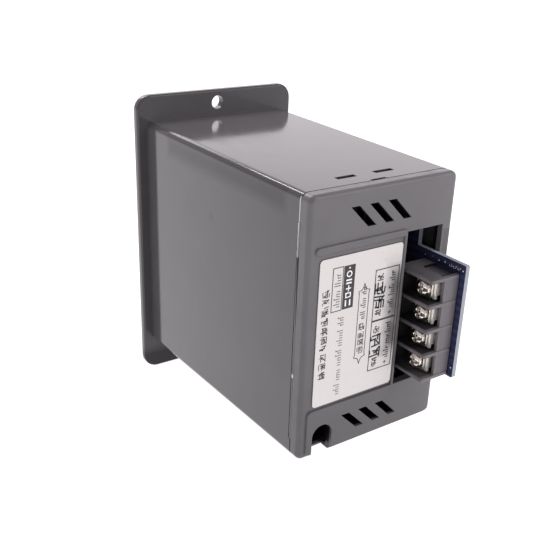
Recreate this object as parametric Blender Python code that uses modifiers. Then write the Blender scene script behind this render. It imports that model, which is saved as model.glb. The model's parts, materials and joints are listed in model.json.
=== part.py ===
"""Panel-mount DC motor speed controller.

A tapered plastic housing hangs behind a front flange that is screwed over a panel cut-out. The
front (-Y) carries a digital display, a speed knob and a three-position rocker switch. A snap-in
cover closes the back (+Y), and the power board reaches out through a window in it with a
four-pole barrier terminal block.

The origin is the centre of the flange in the plane of its back face, which rests on the panel.
+Y points into the cabinet and +Z up. Lengths are in metres.
"""

import math

import bmesh
import bpy
from mathutils import Matrix, Vector

MM = 0.001
GAP = 0.3 * MM
PAST = 1.0 * MM

# Housing: flange, tapered body, walls
FLANGE_WIDTH = 66.7 * MM
FLANGE_HEIGHT = 110.0 * MM
FLANGE_THICK = 3.3 * MM
FLANGE_CORNER = 5.5 * MM
FLANGE_EDGE = 0.8 * MM
FLANGE_HOLE_Z = 50.2 * MM
FLANGE_HOLE_R = 2.5 * MM
BODY_Z = 1.25 * MM
BODY_FRONT = (59.0 * MM, 88.3 * MM)
BODY_BACK = (57.1 * MM, 87.0 * MM)
BODY_END = 93.4 * MM
BODY_CORNER = 2.2 * MM
WALL = 1.8 * MM
SIDE_NOTCH = 0.8 * MM
SIDE_NOTCH_TOP = 36.0 * MM

# Snap windows in the top and bottom walls, as (centre x, width)
SNAPS = ((7.7 * MM, 7.2 * MM), (-6.9 * MM, 7.4 * MM))
SNAP_Y = 87.0 * MM
SNAP_DEPTH = 2.0 * MM
PRY_WIDTH = 5.8 * MM
PRY_DEPTH = 0.9 * MM

# Rear cover
COVER_SIZE = (57.0 * MM, 86.9 * MM)
COVER_FACE = 97.9 * MM
COVER_PLATE = 2.0 * MM
COVER_EDGE = 1.5 * MM
RELIEF = 0.7 * MM
LIP_START = 89.6 * MM
LIP_THICK = 1.2 * MM
WINDOW_X = (-24.2 * MM, -9.0 * MM)
WINDOW_Z = (-25.0 * MM, 28.0 * MM)
RIM_WIDTH = 1.0 * MM
BEAD_Z = (26.8 * MM, 29.2 * MM)
RELIEF_X = 25.9 * MM
PLATE_TOP = -24.9 * MM
# Vents lean 45 degrees; each row is (middle z, rise, shift along -X)
VENT_TOP_X = (12.2 * MM, 5.2 * MM, -1.8 * MM)
VENT_WIDTH = 3.2 * MM
VENT_ROWS = ((36.0 * MM, 6.9 * MM, 0.0), (-33.2 * MM, 6.4 * MM, 1.4 * MM))
ARCH_X = 19.8 * MM
ARCH_R = 3.9 * MM
ARCH_Z = -34.9 * MM
ARCH_WALL = 1.4 * MM
ARCH_START = 91.8 * MM
LABEL_X = (-7.7 * MM, 24.1 * MM)
LABEL_Z = (-23.9 * MM, 25.2 * MM)
LABEL_THICK = 0.2 * MM
LABEL_GAP = 0.15 * MM

# Front panel
OVERLAY_SIZE = (58.0 * MM, 88.0 * MM)
OVERLAY_THICK = 0.5 * MM
DISPLAY_Z = 29.0 * MM
LENS_SIZE = (41.0 * MM, 20.4 * MM)
MODULE_SIZE = (37.6 * MM, 8.0 * MM, 19.0 * MM)
BOARD_THICK = 1.6 * MM
FRONT_BOARD_X = 25.0 * MM
FRONT_BOARD_Z = (13.0 * MM, 42.0 * MM)

# Speed potentiometer and knob
KNOB_Z = -2.5 * MM
SHAFT_R = 3.0 * MM
SHAFT_TIP = -18.0 * MM
BUSHING_R = 3.5 * MM
BUSHING_TIP = -9.0 * MM
NUT_FLATS = 10.0 * MM
NUT_THICK = 2.0 * MM
POT_R = 8.2 * MM
POT_DEPTH = 9.0 * MM
KNOB_R = 14.0 * MM
KNOB_TOP_R = 11.6 * MM
KNOB_BACK = -4.4 * MM
KNOB_FRONT = -20.0 * MM
KNOB_FLUTES = 20

# Three-position rocker switch
ROCKER_Z = -29.5 * MM
ROCKER_AXIS_Y = -1.6 * MM
ROCKER_R = 8.0 * MM
ROCKER_HALF_WIDTH = 5.0 * MM
ROCKER_FRONT = -6.4 * MM
BEZEL_SIZE = (21.0 * MM, 15.0 * MM)
SWITCH_SIZE = (18.9 * MM, 12.8 * MM)
SWITCH_BACK = 12.5 * MM

# Power board, edge-on to the panel, with a tab that leaves the window
BOARD_X = (-23.9 * MM, -22.3 * MM)
BOARD_Y = (14.0 * MM, 90.0 * MM)
BOARD_Z = (-37.0 * MM, 40.0 * MM)
TAB_END = 111.4 * MM
TAB_Z = (-20.5 * MM, 18.7 * MM)
BOARD_SCREWS = ((82.0 * MM, 35.0 * MM), (84.0 * MM, -32.0 * MM), (18.0 * MM, -33.0 * MM))

# Barrier terminal block
POLES = 4
PITCH = 8.5 * MM
FIRST_POLE_Z = 10.65 * MM
BLOCK_Y = (94.0 * MM, 109.2 * MM)
BLOCK_BASE = -17.4 * MM
FIN_TOP = -10.4 * MM
FIN_THICK = 1.2 * MM
FIN_PROUD = 0.3 * MM
FIN_CORNER = 0.6 * MM
OUTER_WALL_Y = 108.1 * MM
OUTER_WALL_TOP = -16.0 * MM
END_RECESS_Y = (99.0 * MM, 107.5 * MM)
END_RECESS_TOP = -16.4 * MM
END_RECESS_DEPTH = 0.5 * MM
SCREW_Y = 103.2 * MM
CLAMP_TOP = -14.8 * MM
CLAMP_THICK = 0.8 * MM
CLAMP_Y = (99.0 * MM, 107.1 * MM)
CLAMP_WIDTH = 6.2 * MM
LEG_WIDTH = 4.0 * MM
LEG_TIP = -26.0 * MM
WASHER_THICK = 0.6 * MM
WASHER_SIZE = 6.0 * MM
HEAD_R = 2.8 * MM
HEAD_THICK = 1.8 * MM
THREAD_R = 1.5 * MM
THREAD_TIP = -20.9 * MM

# Parts on the power board
SINK_X = (-19.0 * MM, 11.0 * MM)
SINK_Y = (18.0 * MM, 68.0 * MM)
SINK_Z = (13.0 * MM, 16.0 * MM, 34.0 * MM)
SINK_FINS = 7
SINK_FIN_THICK = 1.5 * MM
TRANSISTOR_Y = (26.0 * MM, 43.0 * MM, 60.0 * MM)
CAN_R = 8.0 * MM
CAN_LENGTH = 25.0 * MM
CAN_Y = (40.0 * MM, 58.0 * MM)
CAN_Z = -25.0 * MM
RELAY_SIZE = (15.4 * MM, 18.8 * MM, 15.2 * MM)
RELAY_Y = (33.0 * MM, 53.5 * MM)
RELAY_Z = -6.5 * MM
WIRE_R = 0.8 * MM

SEGMENTS = 32

parts = bpy.data.collections.new("motor_speed_controller")
helpers = bpy.data.collections.new("cutters")
materials = {}


def clear_scene():
    for old in list(bpy.data.objects):
        bpy.data.objects.remove(old, do_unlink=True)
    bpy.context.scene.collection.children.link(parts)
    bpy.context.scene.collection.children.link(helpers)


def material(name, colour, roughness, metallic=0.0):
    made = bpy.data.materials.new(name)
    made.use_nodes = True
    shader = made.node_tree.nodes["Principled BSDF"]
    shader.inputs["Base Color"].default_value = (*colour, 1.0)
    shader.inputs["Roughness"].default_value = roughness
    shader.inputs["Metallic"].default_value = metallic
    made.diffuse_color = (*colour, 1.0)
    materials[name] = made


def make_materials():
    material("housing_plastic", (0.075, 0.074, 0.078), 0.22)
    material("overlay_film", (0.02, 0.02, 0.022), 0.45)
    material("label_film", (0.80, 0.79, 0.78), 0.35)
    material("display_window", (0.22, 0.01, 0.01), 0.08)
    material("display_plastic", (0.10, 0.10, 0.10), 0.5)
    material("knob_plastic", (0.018, 0.018, 0.02), 0.4)
    material("pointer_white", (0.82, 0.82, 0.80), 0.5)
    material("spun_aluminium", (0.76, 0.77, 0.79), 0.3, 1.0)
    material("switch_plastic", (0.015, 0.015, 0.016), 0.35)
    material("blue_board", (0.012, 0.03, 0.16), 0.35)
    material("block_plastic", (0.02, 0.02, 0.021), 0.4)
    material("nickel_steel", (0.74, 0.71, 0.66), 0.28, 1.0)
    material("tinned_brass", (0.80, 0.77, 0.70), 0.32, 1.0)
    material("extruded_aluminium", (0.70, 0.71, 0.73), 0.4, 1.0)
    material("moulded_package", (0.03, 0.03, 0.032), 0.5)
    material("can_sleeve", (0.02, 0.025, 0.06), 0.35)
    material("relay_case", (0.02, 0.07, 0.25), 0.4)
    material("connector_white", (0.80, 0.78, 0.70), 0.5)
    material("wire_red", (0.45, 0.02, 0.02), 0.45)
    material("wire_black", (0.02, 0.02, 0.02), 0.45)
    material("wire_yellow", (0.62, 0.45, 0.03), 0.45)


def adopt(obj, look=None, parent=None):
    """Put an object among the parts with its material, or among the hidden helper shapes."""
    if look is None:
        helpers.objects.link(obj)
        obj.hide_render = True
        obj.display_type = "WIRE"
        return obj
    parts.objects.link(obj)
    obj.data.materials.append(materials[look])
    if parent is not None:
        obj.parent = parent
        obj.location -= parent.location
    return obj


def from_bmesh(name, bm, location, look, parent):
    mesh = bpy.data.meshes.new(name)
    bm.to_mesh(mesh)
    bm.free()
    obj = bpy.data.objects.new(name, mesh)
    obj.location = location
    return adopt(obj, look, parent)


def edges_along(bm, axis):
    """Edges of a box-like mesh that run mainly along one axis."""
    chosen = []
    for edge in bm.edges:
        run = edge.verts[0].co - edge.verts[1].co
        if abs(run[axis]) > 0.9 * run.length:
            chosen.append(edge)
    return chosen


def block(name, low, high, look=None, round_axis=None, radius=0.0, segments=4, back=None,
          lean=0.0, parent=None):
    """A box between two corners.

    The edges along round_axis can be rounded, back gives another width and height for its +Y
    end, and lean shears it along X as it rises.
    """
    low, high = Vector(low), Vector(high)
    size = high - low
    bm = bmesh.new()
    bmesh.ops.create_cube(bm, size=1.0)
    bmesh.ops.scale(bm, vec=size, verts=bm.verts)
    for vert in bm.verts:
        if back is not None and vert.co.y > 0:
            vert.co.x *= back[0] / size.x
            vert.co.z *= back[1] / size.z
        vert.co.x += lean * vert.co.z
    if round_axis is not None:
        bmesh.ops.bevel(bm, geom=edges_along(bm, round_axis), offset=radius, segments=segments,
                        profile=0.5, affect="EDGES")
    return from_bmesh(name, bm, (low + high) / 2, look, parent)


def aim(axis):
    """Rotation that turns +Z onto a named axis."""
    turns = {
        "+X": (0.0, math.pi / 2, 0.0),
        "-X": (0.0, -math.pi / 2, 0.0),
        "+Y": (-math.pi / 2, 0.0, 0.0),
        "-Y": (math.pi / 2, 0.0, 0.0),
        "+Z": (0.0, 0.0, 0.0),
    }
    return turns[axis]


def rod(name, base, radius, length, axis, look=None, segments=SEGMENTS, parent=None):
    """A cylinder, or a prism with few segments, that starts at base and runs along axis."""
    bm = bmesh.new()
    bmesh.ops.create_cone(bm, cap_ends=True, segments=segments, radius1=radius, radius2=radius,
                          depth=length)
    bmesh.ops.translate(bm, vec=(0.0, 0.0, length / 2), verts=bm.verts)
    obj = from_bmesh(name, bm, base, look, parent)
    obj.rotation_euler = aim(axis)
    return obj


def turned(name, profile, base, axis, look=None, closed=False, segments=SEGMENTS, parent=None):
    """A turned piece. The profile lists (radius, height) down its outer side."""
    bm = bmesh.new()
    verts = [bm.verts.new((radius, 0.0, height)) for radius, height in profile]
    for first, second in zip(verts, verts[1:]):
        bm.edges.new((first, second))
    if closed:
        bm.edges.new((verts[-1], verts[0]))
    obj = from_bmesh(name, bm, base, look, parent)
    obj.rotation_euler = aim(axis)
    screw = obj.modifiers.new("turn", "SCREW")
    screw.steps = segments
    screw.render_steps = segments
    screw.use_merge_vertices = True
    screw.merge_threshold = 0.01 * MM
    return obj


def outline(name, points, thickness, centre, look=None, parent=None):
    """A flat plate whose outline is drawn in the XZ plane, thick along Y."""
    curve = bpy.data.curves.new(name, "CURVE")
    curve.dimensions = "2D"
    curve.fill_mode = "BOTH"
    curve.extrude = thickness / 2
    spline = curve.splines.new("POLY")
    spline.points.add(len(points) - 1)
    spline.use_cyclic_u = True
    for point, (x, z) in zip(spline.points, points):
        point.co = (x, z, 0.0, 1.0)
    drawn = bpy.data.objects.new(name + "_outline", curve)
    helpers.objects.link(drawn)
    mesh = bpy.data.meshes.new_from_object(drawn.evaluated_get(bpy.context.evaluated_depsgraph_get()))
    bpy.data.objects.remove(drawn, do_unlink=True)
    bm = bmesh.new()
    bm.from_mesh(mesh)
    bmesh.ops.remove_doubles(bm, verts=bm.verts, dist=0.001 * MM)
    bmesh.ops.recalc_face_normals(bm, faces=bm.faces)
    bm.transform(Matrix.Rotation(math.pi / 2, 4, "X"))
    return from_bmesh(name, bm, centre, look, parent)


def combine(obj, other, operation):
    step = obj.modifiers.new(other.name, "BOOLEAN")
    step.operation = operation
    step.solver = "EXACT"
    step.object = other
    return obj


def cut(obj, *cutters):
    for cutter in cutters:
        combine(obj, cutter, "DIFFERENCE")
    return obj


def join(obj, *others):
    for other in others:
        combine(obj, other, "UNION")
    return obj


def soften(obj, width, segments=2, angle=40.0):
    bevel = obj.modifiers.new("soft_edges", "BEVEL")
    bevel.width = width
    bevel.segments = segments
    bevel.limit_method = "ANGLE"
    bevel.angle_limit = math.radians(angle)
    return obj


def smooth(obj, angle=35.0):
    obj.data.shade_smooth()
    obj.data.set_sharp_from_angle(angle=math.radians(angle))
    return obj


def empty(name, location, parent=None):
    obj = bpy.data.objects.new(name, None)
    obj.empty_display_size = 5 * MM
    obj.location = location
    parts.objects.link(obj)
    if parent is not None:
        obj.parent = parent
    return obj


def body_size(y):
    """Outer width and height of the tapered body at a depth."""
    share = y / BODY_END
    return tuple(front + (back - front) * share for front, back in zip(BODY_FRONT, BODY_BACK))


def tapered(name, y_low, y_high, inset, radius, look=None):
    """A length of the tapered body, drawn in on all four sides by inset."""
    front = [extent - 2 * inset for extent in body_size(y_low)]
    back = [extent - 2 * inset for extent in body_size(y_high)]
    low = (-front[0] / 2, y_low, BODY_Z - front[1] / 2)
    high = (front[0] / 2, y_high, BODY_Z + front[1] / 2)
    return block(name, low, high, look, round_axis=1, radius=radius, back=back)


def housing(root):
    """Flange and body in one moulding, open at the back."""
    shell = block("housing", (-FLANGE_WIDTH / 2, -FLANGE_THICK, -FLANGE_HEIGHT / 2),
                  (FLANGE_WIDTH / 2, 0.0, FLANGE_HEIGHT / 2), "housing_plastic",
                  round_axis=1, radius=FLANGE_CORNER, segments=6, parent=root)
    soften(shell, FLANGE_EDGE)
    join(shell, tapered("body_outside", -PAST, BODY_END, 0.0, BODY_CORNER))
    cut(shell, tapered("body_inside", 0.0, BODY_END + PAST, WALL, BODY_CORNER - WALL))
    join(shell, *board_bosses())
    cut(shell, *board_boss_holes())
    for side in (-1, 1):
        cut(shell, rod("flange_hole", (0.0, -FLANGE_THICK - PAST, side * FLANGE_HOLE_Z),
                       FLANGE_HOLE_R, FLANGE_THICK + 2 * PAST, "+Y"))
    cut(shell, *front_openings(), *snap_windows())
    smooth(shell)


def board_bosses():
    """Posts on the -X wall that carry the power board."""
    bosses = []
    for y, z in BOARD_SCREWS:
        start = -body_size(y)[0] / 2 + WALL / 2
        bosses.append(rod("board_boss", (start, y, z), 3.0 * MM, BOARD_X[0] - GAP - start, "+X",
                          segments=20))
    return bosses


def board_boss_holes():
    return [rod("boss_hole", (-body_size(y)[0] / 2 + WALL, y, z), 1.4 * MM, 8 * MM, "+X",
                segments=16) for y, z in BOARD_SCREWS]


def front_openings():
    """Overlay recess and the holes for the display, the potentiometer and the switch."""
    front = -FLANGE_THICK - PAST
    floor = -FLANGE_THICK + OVERLAY_THICK + GAP
    half_x = OVERLAY_SIZE[0] / 2 + GAP
    half_z = OVERLAY_SIZE[1] / 2 + GAP
    recess = block("overlay_recess", (-half_x, front, -half_z), (half_x, floor, half_z),
                   round_axis=1, radius=3 * MM + GAP)
    lens = slot("lens_hole", LENS_SIZE, DISPLAY_Z, 1.5 * MM)
    switch = slot("switch_hole", SWITCH_SIZE, ROCKER_Z, 0.5 * MM)
    shaft = rod("bushing_hole", (0.0, front, KNOB_Z), BUSHING_R + GAP, 2 * FLANGE_THICK, "+Y")
    return recess, lens, switch, shaft


def slot(name, size, z, radius):
    """A rounded rectangular hole through the front wall, a gap larger than what fits in it."""
    half_x = size[0] / 2 + GAP
    half_z = size[1] / 2 + GAP
    return block(name, (-half_x, -FLANGE_THICK - 2 * PAST, z - half_z),
                 (half_x, PAST, z + half_z), round_axis=1, radius=radius)


def snap_windows():
    """Slits over the cover's hooks, the pry notch, and the relieved edge of the +X wall."""
    width, height = body_size(SNAP_Y)
    cutters = []
    for side in (-1, 1):
        z = BODY_Z + side * height / 2
        for x, span in SNAPS:
            cutters.append(block("snap_window",
                                 (x - span / 2, SNAP_Y - SNAP_DEPTH / 2, z - 2 * WALL),
                                 (x + span / 2, SNAP_Y + SNAP_DEPTH / 2, z + 2 * WALL)))
    top = BODY_Z + height / 2
    cutters.append(block("pry_notch", (-PRY_WIDTH / 2, BODY_END - PRY_DEPTH, top - 2 * WALL),
                         (PRY_WIDTH / 2, BODY_END + PAST, top + PAST)))
    cutters.append(block("side_relief", (width / 2 - 2 * WALL, BODY_END - SIDE_NOTCH, -SIDE_NOTCH_TOP),
                         (width / 2 + PAST, BODY_END + PAST, SIDE_NOTCH_TOP)))
    return cutters


def rear_cover(root):
    """Snap-in back cover with its vents, terminal window, relief and cable arch."""
    start = BODY_END + GAP
    half_x, half_z = COVER_SIZE[0] / 2, COVER_SIZE[1] / 2
    cover = block("rear_cover", (-half_x, start, BODY_Z - half_z),
                  (half_x, COVER_FACE, BODY_Z + half_z), "housing_plastic",
                  round_axis=1, radius=BODY_CORNER, parent=root)
    round_back(cover, COVER_EDGE)
    join(cover, *cover_relief())
    hollow = block("cover_hollow", (-half_x + WALL, start - PAST, BODY_Z - half_z + WALL),
                   (half_x - WALL, COVER_FACE - COVER_PLATE, BODY_Z + half_z - WALL),
                   round_axis=1, radius=0.6 * MM)
    cut(cover, hollow)
    join(cover, cover_lip(), *snap_hooks(), arch_surround())
    cut(cover, *vents(), terminal_window(), *arch_cutters(), *lip_reliefs())
    smooth(cover)


def round_back(obj, width):
    """Round the rim of a block's +Y face."""
    bm = bmesh.new()
    bm.from_mesh(obj.data)
    back = max(vert.co.y for vert in bm.verts)
    rim = [edge for edge in bm.edges
           if all(abs(vert.co.y - back) < 1e-6 for vert in edge.verts)]
    bmesh.ops.bevel(bm, geom=rim, offset=width, segments=3, profile=0.5, affect="EDGES")
    bm.to_mesh(obj.data)
    bm.free()


def cover_relief():
    """Raised bead above the label, rim beside it and plate below it."""
    inside = COVER_FACE - PAST
    face = COVER_FACE + RELIEF
    bead = block("label_bead", (WINDOW_X[1], inside, BEAD_Z[0]), (RELIEF_X, face, BEAD_Z[1]),
                 round_axis=1, radius=1.15 * MM)
    rim = block("label_rim", (WINDOW_X[1], inside, PLATE_TOP - PAST),
                (WINDOW_X[1] + RIM_WIDTH, face, BEAD_Z[1] - PAST))
    bottom = BODY_Z - COVER_SIZE[1] / 2 + 1.2 * MM
    plate = block("lower_plate", (-RELIEF_X, inside, bottom), (RELIEF_X, face, PLATE_TOP),
                  round_axis=1, radius=1.5 * MM)
    for piece, width in ((bead, 0.45 * MM), (rim, 0.3 * MM), (plate, 0.4 * MM)):
        round_back(piece, width)
    return bead, rim, plate


def cover_lip():
    """Thin collar that locates the cover inside the housing."""
    collar = tapered("cover_lip", LIP_START, BODY_END + 1.5 * MM, WALL + GAP, 0.5 * MM)
    cut(collar, tapered("lip_inside", LIP_START - PAST, BODY_END + 3 * MM,
                        WALL + GAP + LIP_THICK, 0.3 * MM))
    return collar


def snap_hooks():
    """Tongues that reach forward from the collar, with hooks that stand in the snap windows."""
    pieces = []
    for side in (-1, 1):
        inner = BODY_Z + side * (body_size(SNAP_Y)[1] / 2 - WALL - GAP)
        for x, span in SNAPS:
            half = span / 2 - 0.6 * MM
            tongue = sorted((inner - side * 0.3 * MM, inner - side * LIP_THICK))
            pieces.append(block("snap_tongue", (x - half, SNAP_Y - 1.6 * MM, tongue[0]),
                                (x + half, LIP_START + PAST, tongue[1])))
            hook = sorted((inner + side * 1.2 * MM, inner - side * 0.8 * MM))
            pieces.append(block("snap_hook", (x - half, SNAP_Y - 0.6 * MM, hook[0]),
                                (x + half, SNAP_Y + 0.6 * MM, hook[1])))
    return pieces


def arch_surround():
    """Wall around the cable arch on the cover's inner side."""
    reach = ARCH_R + ARCH_WALL
    return block("arch_surround", (ARCH_X - reach, ARCH_START, -39.0 * MM),
                 (ARCH_X + reach, COVER_FACE - PAST, ARCH_Z + reach), round_axis=1,
                 radius=1.0 * MM)


def arch_cutters():
    """Round-topped cable outlet that is open at the cover's bottom edge."""
    bore = rod("arch_round", (ARCH_X, LIP_START - PAST, ARCH_Z), ARCH_R, 15 * MM, "+Y")
    bottom = BODY_Z - COVER_SIZE[1] / 2 - PAST
    legs = block("arch_legs", (ARCH_X - ARCH_R, LIP_START - PAST, bottom),
                 (ARCH_X + ARCH_R, COVER_FACE + 2 * PAST, ARCH_Z))
    return bore, legs


def lip_reliefs():
    """Clears the collar where the power board passes through it."""
    return (block("board_relief", (-BODY_FRONT[0] / 2, LIP_START - PAST, WINDOW_Z[0]),
                  (WINDOW_X[0] + 0.2 * MM, BODY_END, WINDOW_Z[1])),)


def vents():
    """Two rows of leaning ventilation slots."""
    slots = []
    inside, outside = COVER_FACE - 4 * COVER_PLATE, COVER_FACE + 2 * PAST
    for middle, rise, shift in VENT_ROWS:
        for top_x in VENT_TOP_X:
            x = top_x - rise / 2 - shift
            slots.append(block("vent", (x - VENT_WIDTH / 2, inside, middle - rise / 2),
                               (x + VENT_WIDTH / 2, outside, middle + rise / 2), lean=1.0))
    return slots


def terminal_window():
    return block("terminal_window", (WINDOW_X[0], BODY_END + PAST, WINDOW_Z[0]),
                 (WINDOW_X[1], COVER_FACE + 2 * PAST, WINDOW_Z[1]))


def rating_label(root):
    face = COVER_FACE + LABEL_GAP
    block("rating_label", (LABEL_X[0], face, LABEL_Z[0]),
          (LABEL_X[1], face + LABEL_THICK, LABEL_Z[1]), "label_film", round_axis=1,
          radius=1.2 * MM, parent=root)


def front_panel(root):
    """Printed overlay with the display window behind it."""
    half_x, half_z = OVERLAY_SIZE[0] / 2, OVERLAY_SIZE[1] / 2
    overlay = block("front_overlay", (-half_x, -FLANGE_THICK, -half_z),
                    (half_x, -FLANGE_THICK + OVERLAY_THICK, half_z), "overlay_film",
                    round_axis=1, radius=3 * MM, parent=root)
    cut(overlay, slot("overlay_lens_hole", LENS_SIZE, DISPLAY_Z, 1.5 * MM),
        slot("overlay_switch_hole", SWITCH_SIZE, ROCKER_Z, 0.5 * MM),
        rod("overlay_shaft_hole", (0.0, -2 * FLANGE_THICK, KNOB_Z), BUSHING_R + GAP,
            3 * FLANGE_THICK, "+Y"))
    lens_x, lens_z = LENS_SIZE[0] / 2, LENS_SIZE[1] / 2
    lens = block("display_lens", (-lens_x, -FLANGE_THICK - 0.6 * MM, DISPLAY_Z - lens_z),
                 (lens_x, -0.4 * MM, DISPLAY_Z + lens_z), "display_window", round_axis=1,
                 radius=1.2 * MM, parent=root)
    soften(lens, 0.3 * MM)
    module_x, module_y, module_z = MODULE_SIZE
    block("display_module", (-module_x / 2, 0.2 * MM, DISPLAY_Z - module_z / 2),
          (module_x / 2, 0.2 * MM + module_y, DISPLAY_Z + module_z / 2), "display_plastic",
          parent=root)
    board_y = 0.2 * MM + module_y + GAP
    block("display_board", (-FRONT_BOARD_X, board_y, FRONT_BOARD_Z[0]),
          (FRONT_BOARD_X, board_y + BOARD_THICK, FRONT_BOARD_Z[1]), "blue_board", parent=root)
    chip_y = board_y + BOARD_THICK + GAP
    block("display_controller", (-5 * MM, chip_y, 25 * MM), (5 * MM, chip_y + 2 * MM, 32 * MM),
          "moulded_package", parent=root)


def potentiometer(root):
    """Panel potentiometer: can and threaded bushing, washer and nut."""
    can_start = GAP
    can = rod("potentiometer", (0.0, can_start, KNOB_Z), POT_R, POT_DEPTH, "+Y",
              "extruded_aluminium", parent=root)
    join(can, rod("bushing", (0.0, BUSHING_TIP, KNOB_Z), BUSHING_R,
                  can_start + PAST - BUSHING_TIP, "+Y"))
    tag = block("pot_tags", (-7 * MM, 3 * MM, KNOB_Z - 13.5 * MM),
                (7 * MM, 4.6 * MM, KNOB_Z - 5 * MM))
    join(can, tag)
    cut(can, rod("shaft_bore", (0.0, BUSHING_TIP - PAST, KNOB_Z), SHAFT_R + 0.15 * MM,
                 PAST - BUSHING_TIP + 6.3 * MM, "+Y"))
    smooth(can)
    washer_y = -FLANGE_THICK - GAP
    washer = [(6.2 * MM, 0.5 * MM), (6.2 * MM, 0.0), (BUSHING_R + GAP, 0.0),
              (BUSHING_R + GAP, 0.5 * MM)]
    smooth(turned("pot_washer", washer, (0.0, washer_y, KNOB_Z), "-Y", "nickel_steel",
                  closed=True, parent=root))
    nut = rod("pot_nut", (0.0, washer_y - 0.5 * MM - GAP, KNOB_Z), NUT_FLATS / math.sqrt(3),
              NUT_THICK, "-Y", "nickel_steel", segments=6, parent=root)
    cut(nut, rod("nut_bore", (0.0, 0.0, KNOB_Z), BUSHING_R + GAP, 12 * MM, "-Y"))


def knob_outline(radius, depth):
    """Points of a fluted circle."""
    count = KNOB_FLUTES * 4
    points = []
    for step in range(count):
        turn = 2 * math.pi * step / count
        reach = radius - depth * (0.5 - 0.5 * math.cos(KNOB_FLUTES * turn))
        points.append((reach * math.cos(turn), reach * math.sin(turn)))
    return points


def speed_knob(root):
    """Fluted knob on the potentiometer shaft, with a metal cap and a pointer."""
    axis = empty("speed_knob_axis", (0.0, 0.0, KNOB_Z), root)
    skirt = [(KNOB_R - 3 * MM, 2.6 * MM), (KNOB_R - 1.0 * MM, 2.3 * MM), (KNOB_R, 1.2 * MM),
             (KNOB_R, 0.0), (0.0, 0.0)]
    knob = turned("speed_knob", [(0.0, 2.6 * MM)] + skirt, (0.0, KNOB_BACK, KNOB_Z), "-Y",
                  "knob_plastic", segments=48, parent=axis)
    grip_length = KNOB_BACK - KNOB_FRONT - 1.5 * MM
    grip = outline("knob_grip", knob_outline(KNOB_TOP_R, 0.6 * MM), grip_length,
                   (0.0, KNOB_FRONT + grip_length / 2, KNOB_Z))
    for vert in grip.data.vertices:
        if vert.co.y < 0:
            vert.co.x *= 0.94
            vert.co.z *= 0.94
    round_front(grip, 0.8 * MM)
    join(knob, grip)
    hollow_depth = 6.2 * MM
    cut(knob, rod("knob_hollow", (0.0, KNOB_BACK + PAST, KNOB_Z), 7.4 * MM,
                  hollow_depth + PAST, "-Y"),
        rod("knob_bore", (0.0, KNOB_BACK, KNOB_Z), SHAFT_R + GAP, 14 * MM, "-Y"),
        rod("cap_seat", (0.0, KNOB_FRONT - PAST, KNOB_Z), 8 * MM + GAP, 0.8 * MM + PAST, "+Y"),
        block("pointer_slot", (-0.6 * MM - GAP, KNOB_FRONT - PAST, KNOB_Z + 8.6 * MM),
              (0.6 * MM + GAP, KNOB_FRONT + 0.8 * MM, KNOB_Z + KNOB_R)))
    smooth(knob)
    knob_cap(axis)
    block("knob_pointer", (-0.6 * MM, KNOB_FRONT - 0.1 * MM, KNOB_Z + 8.9 * MM),
          (0.6 * MM, KNOB_FRONT + 0.5 * MM, KNOB_Z + 10.3 * MM), "pointer_white", parent=axis)
    shaft = rod("pot_shaft", (0.0, SHAFT_TIP, KNOB_Z), SHAFT_R, 6.0 * MM - SHAFT_TIP, "+Y",
                "extruded_aluminium", parent=axis)
    flat = block("shaft_flat", (-5 * MM, SHAFT_TIP - PAST, KNOB_Z + 1.5 * MM),
                 (5 * MM, BUSHING_TIP - PAST, KNOB_Z + 5 * MM))
    cut(shaft, flat)
    smooth(shaft)


def round_front(obj, width):
    """Round the rim of a plate's -Y face."""
    bm = bmesh.new()
    bm.from_mesh(obj.data)
    front = min(vert.co.y for vert in bm.verts)
    rim = [edge for edge in bm.edges
           if all(abs(vert.co.y - front) < 1e-6 for vert in edge.verts)
           and any(len(face.verts) == 4 and abs(face.normal.y) < 0.5
                   for face in edge.link_faces)]
    bmesh.ops.bevel(bm, geom=rim, offset=width, segments=2, profile=0.5, affect="EDGES")
    bm.to_mesh(obj.data)
    bm.free()


def knob_cap(axis):
    cap = [(0.0, 0.6 * MM), (7.5 * MM, 0.6 * MM), (8.0 * MM, 0.3 * MM), (8.0 * MM, 0.0),
           (0.0, 0.0)]
    smooth(turned("knob_cap", cap, (0.0, KNOB_FRONT + 0.5 * MM, KNOB_Z), "-Y",
                  "spun_aluminium", parent=axis))


def rocker_profile():
    """Rocker seen along its axis: a shallow V in front and ends that follow the pivot circle."""
    rise = ROCKER_AXIS_Y - ROCKER_FRONT
    start = math.asin(rise / ROCKER_R)
    drop = math.asin(2.4 * MM / ROCKER_R)
    steps = 6
    right = []
    for step in range(steps + 1):
        angle = start - (start + drop) * step / steps
        right.append((ROCKER_R * math.cos(angle), -ROCKER_R * math.sin(angle)))
    left = [(-x, y) for x, y in reversed(right)]
    return right + left + [(0.0, -rise + 1.3 * MM)]


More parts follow.
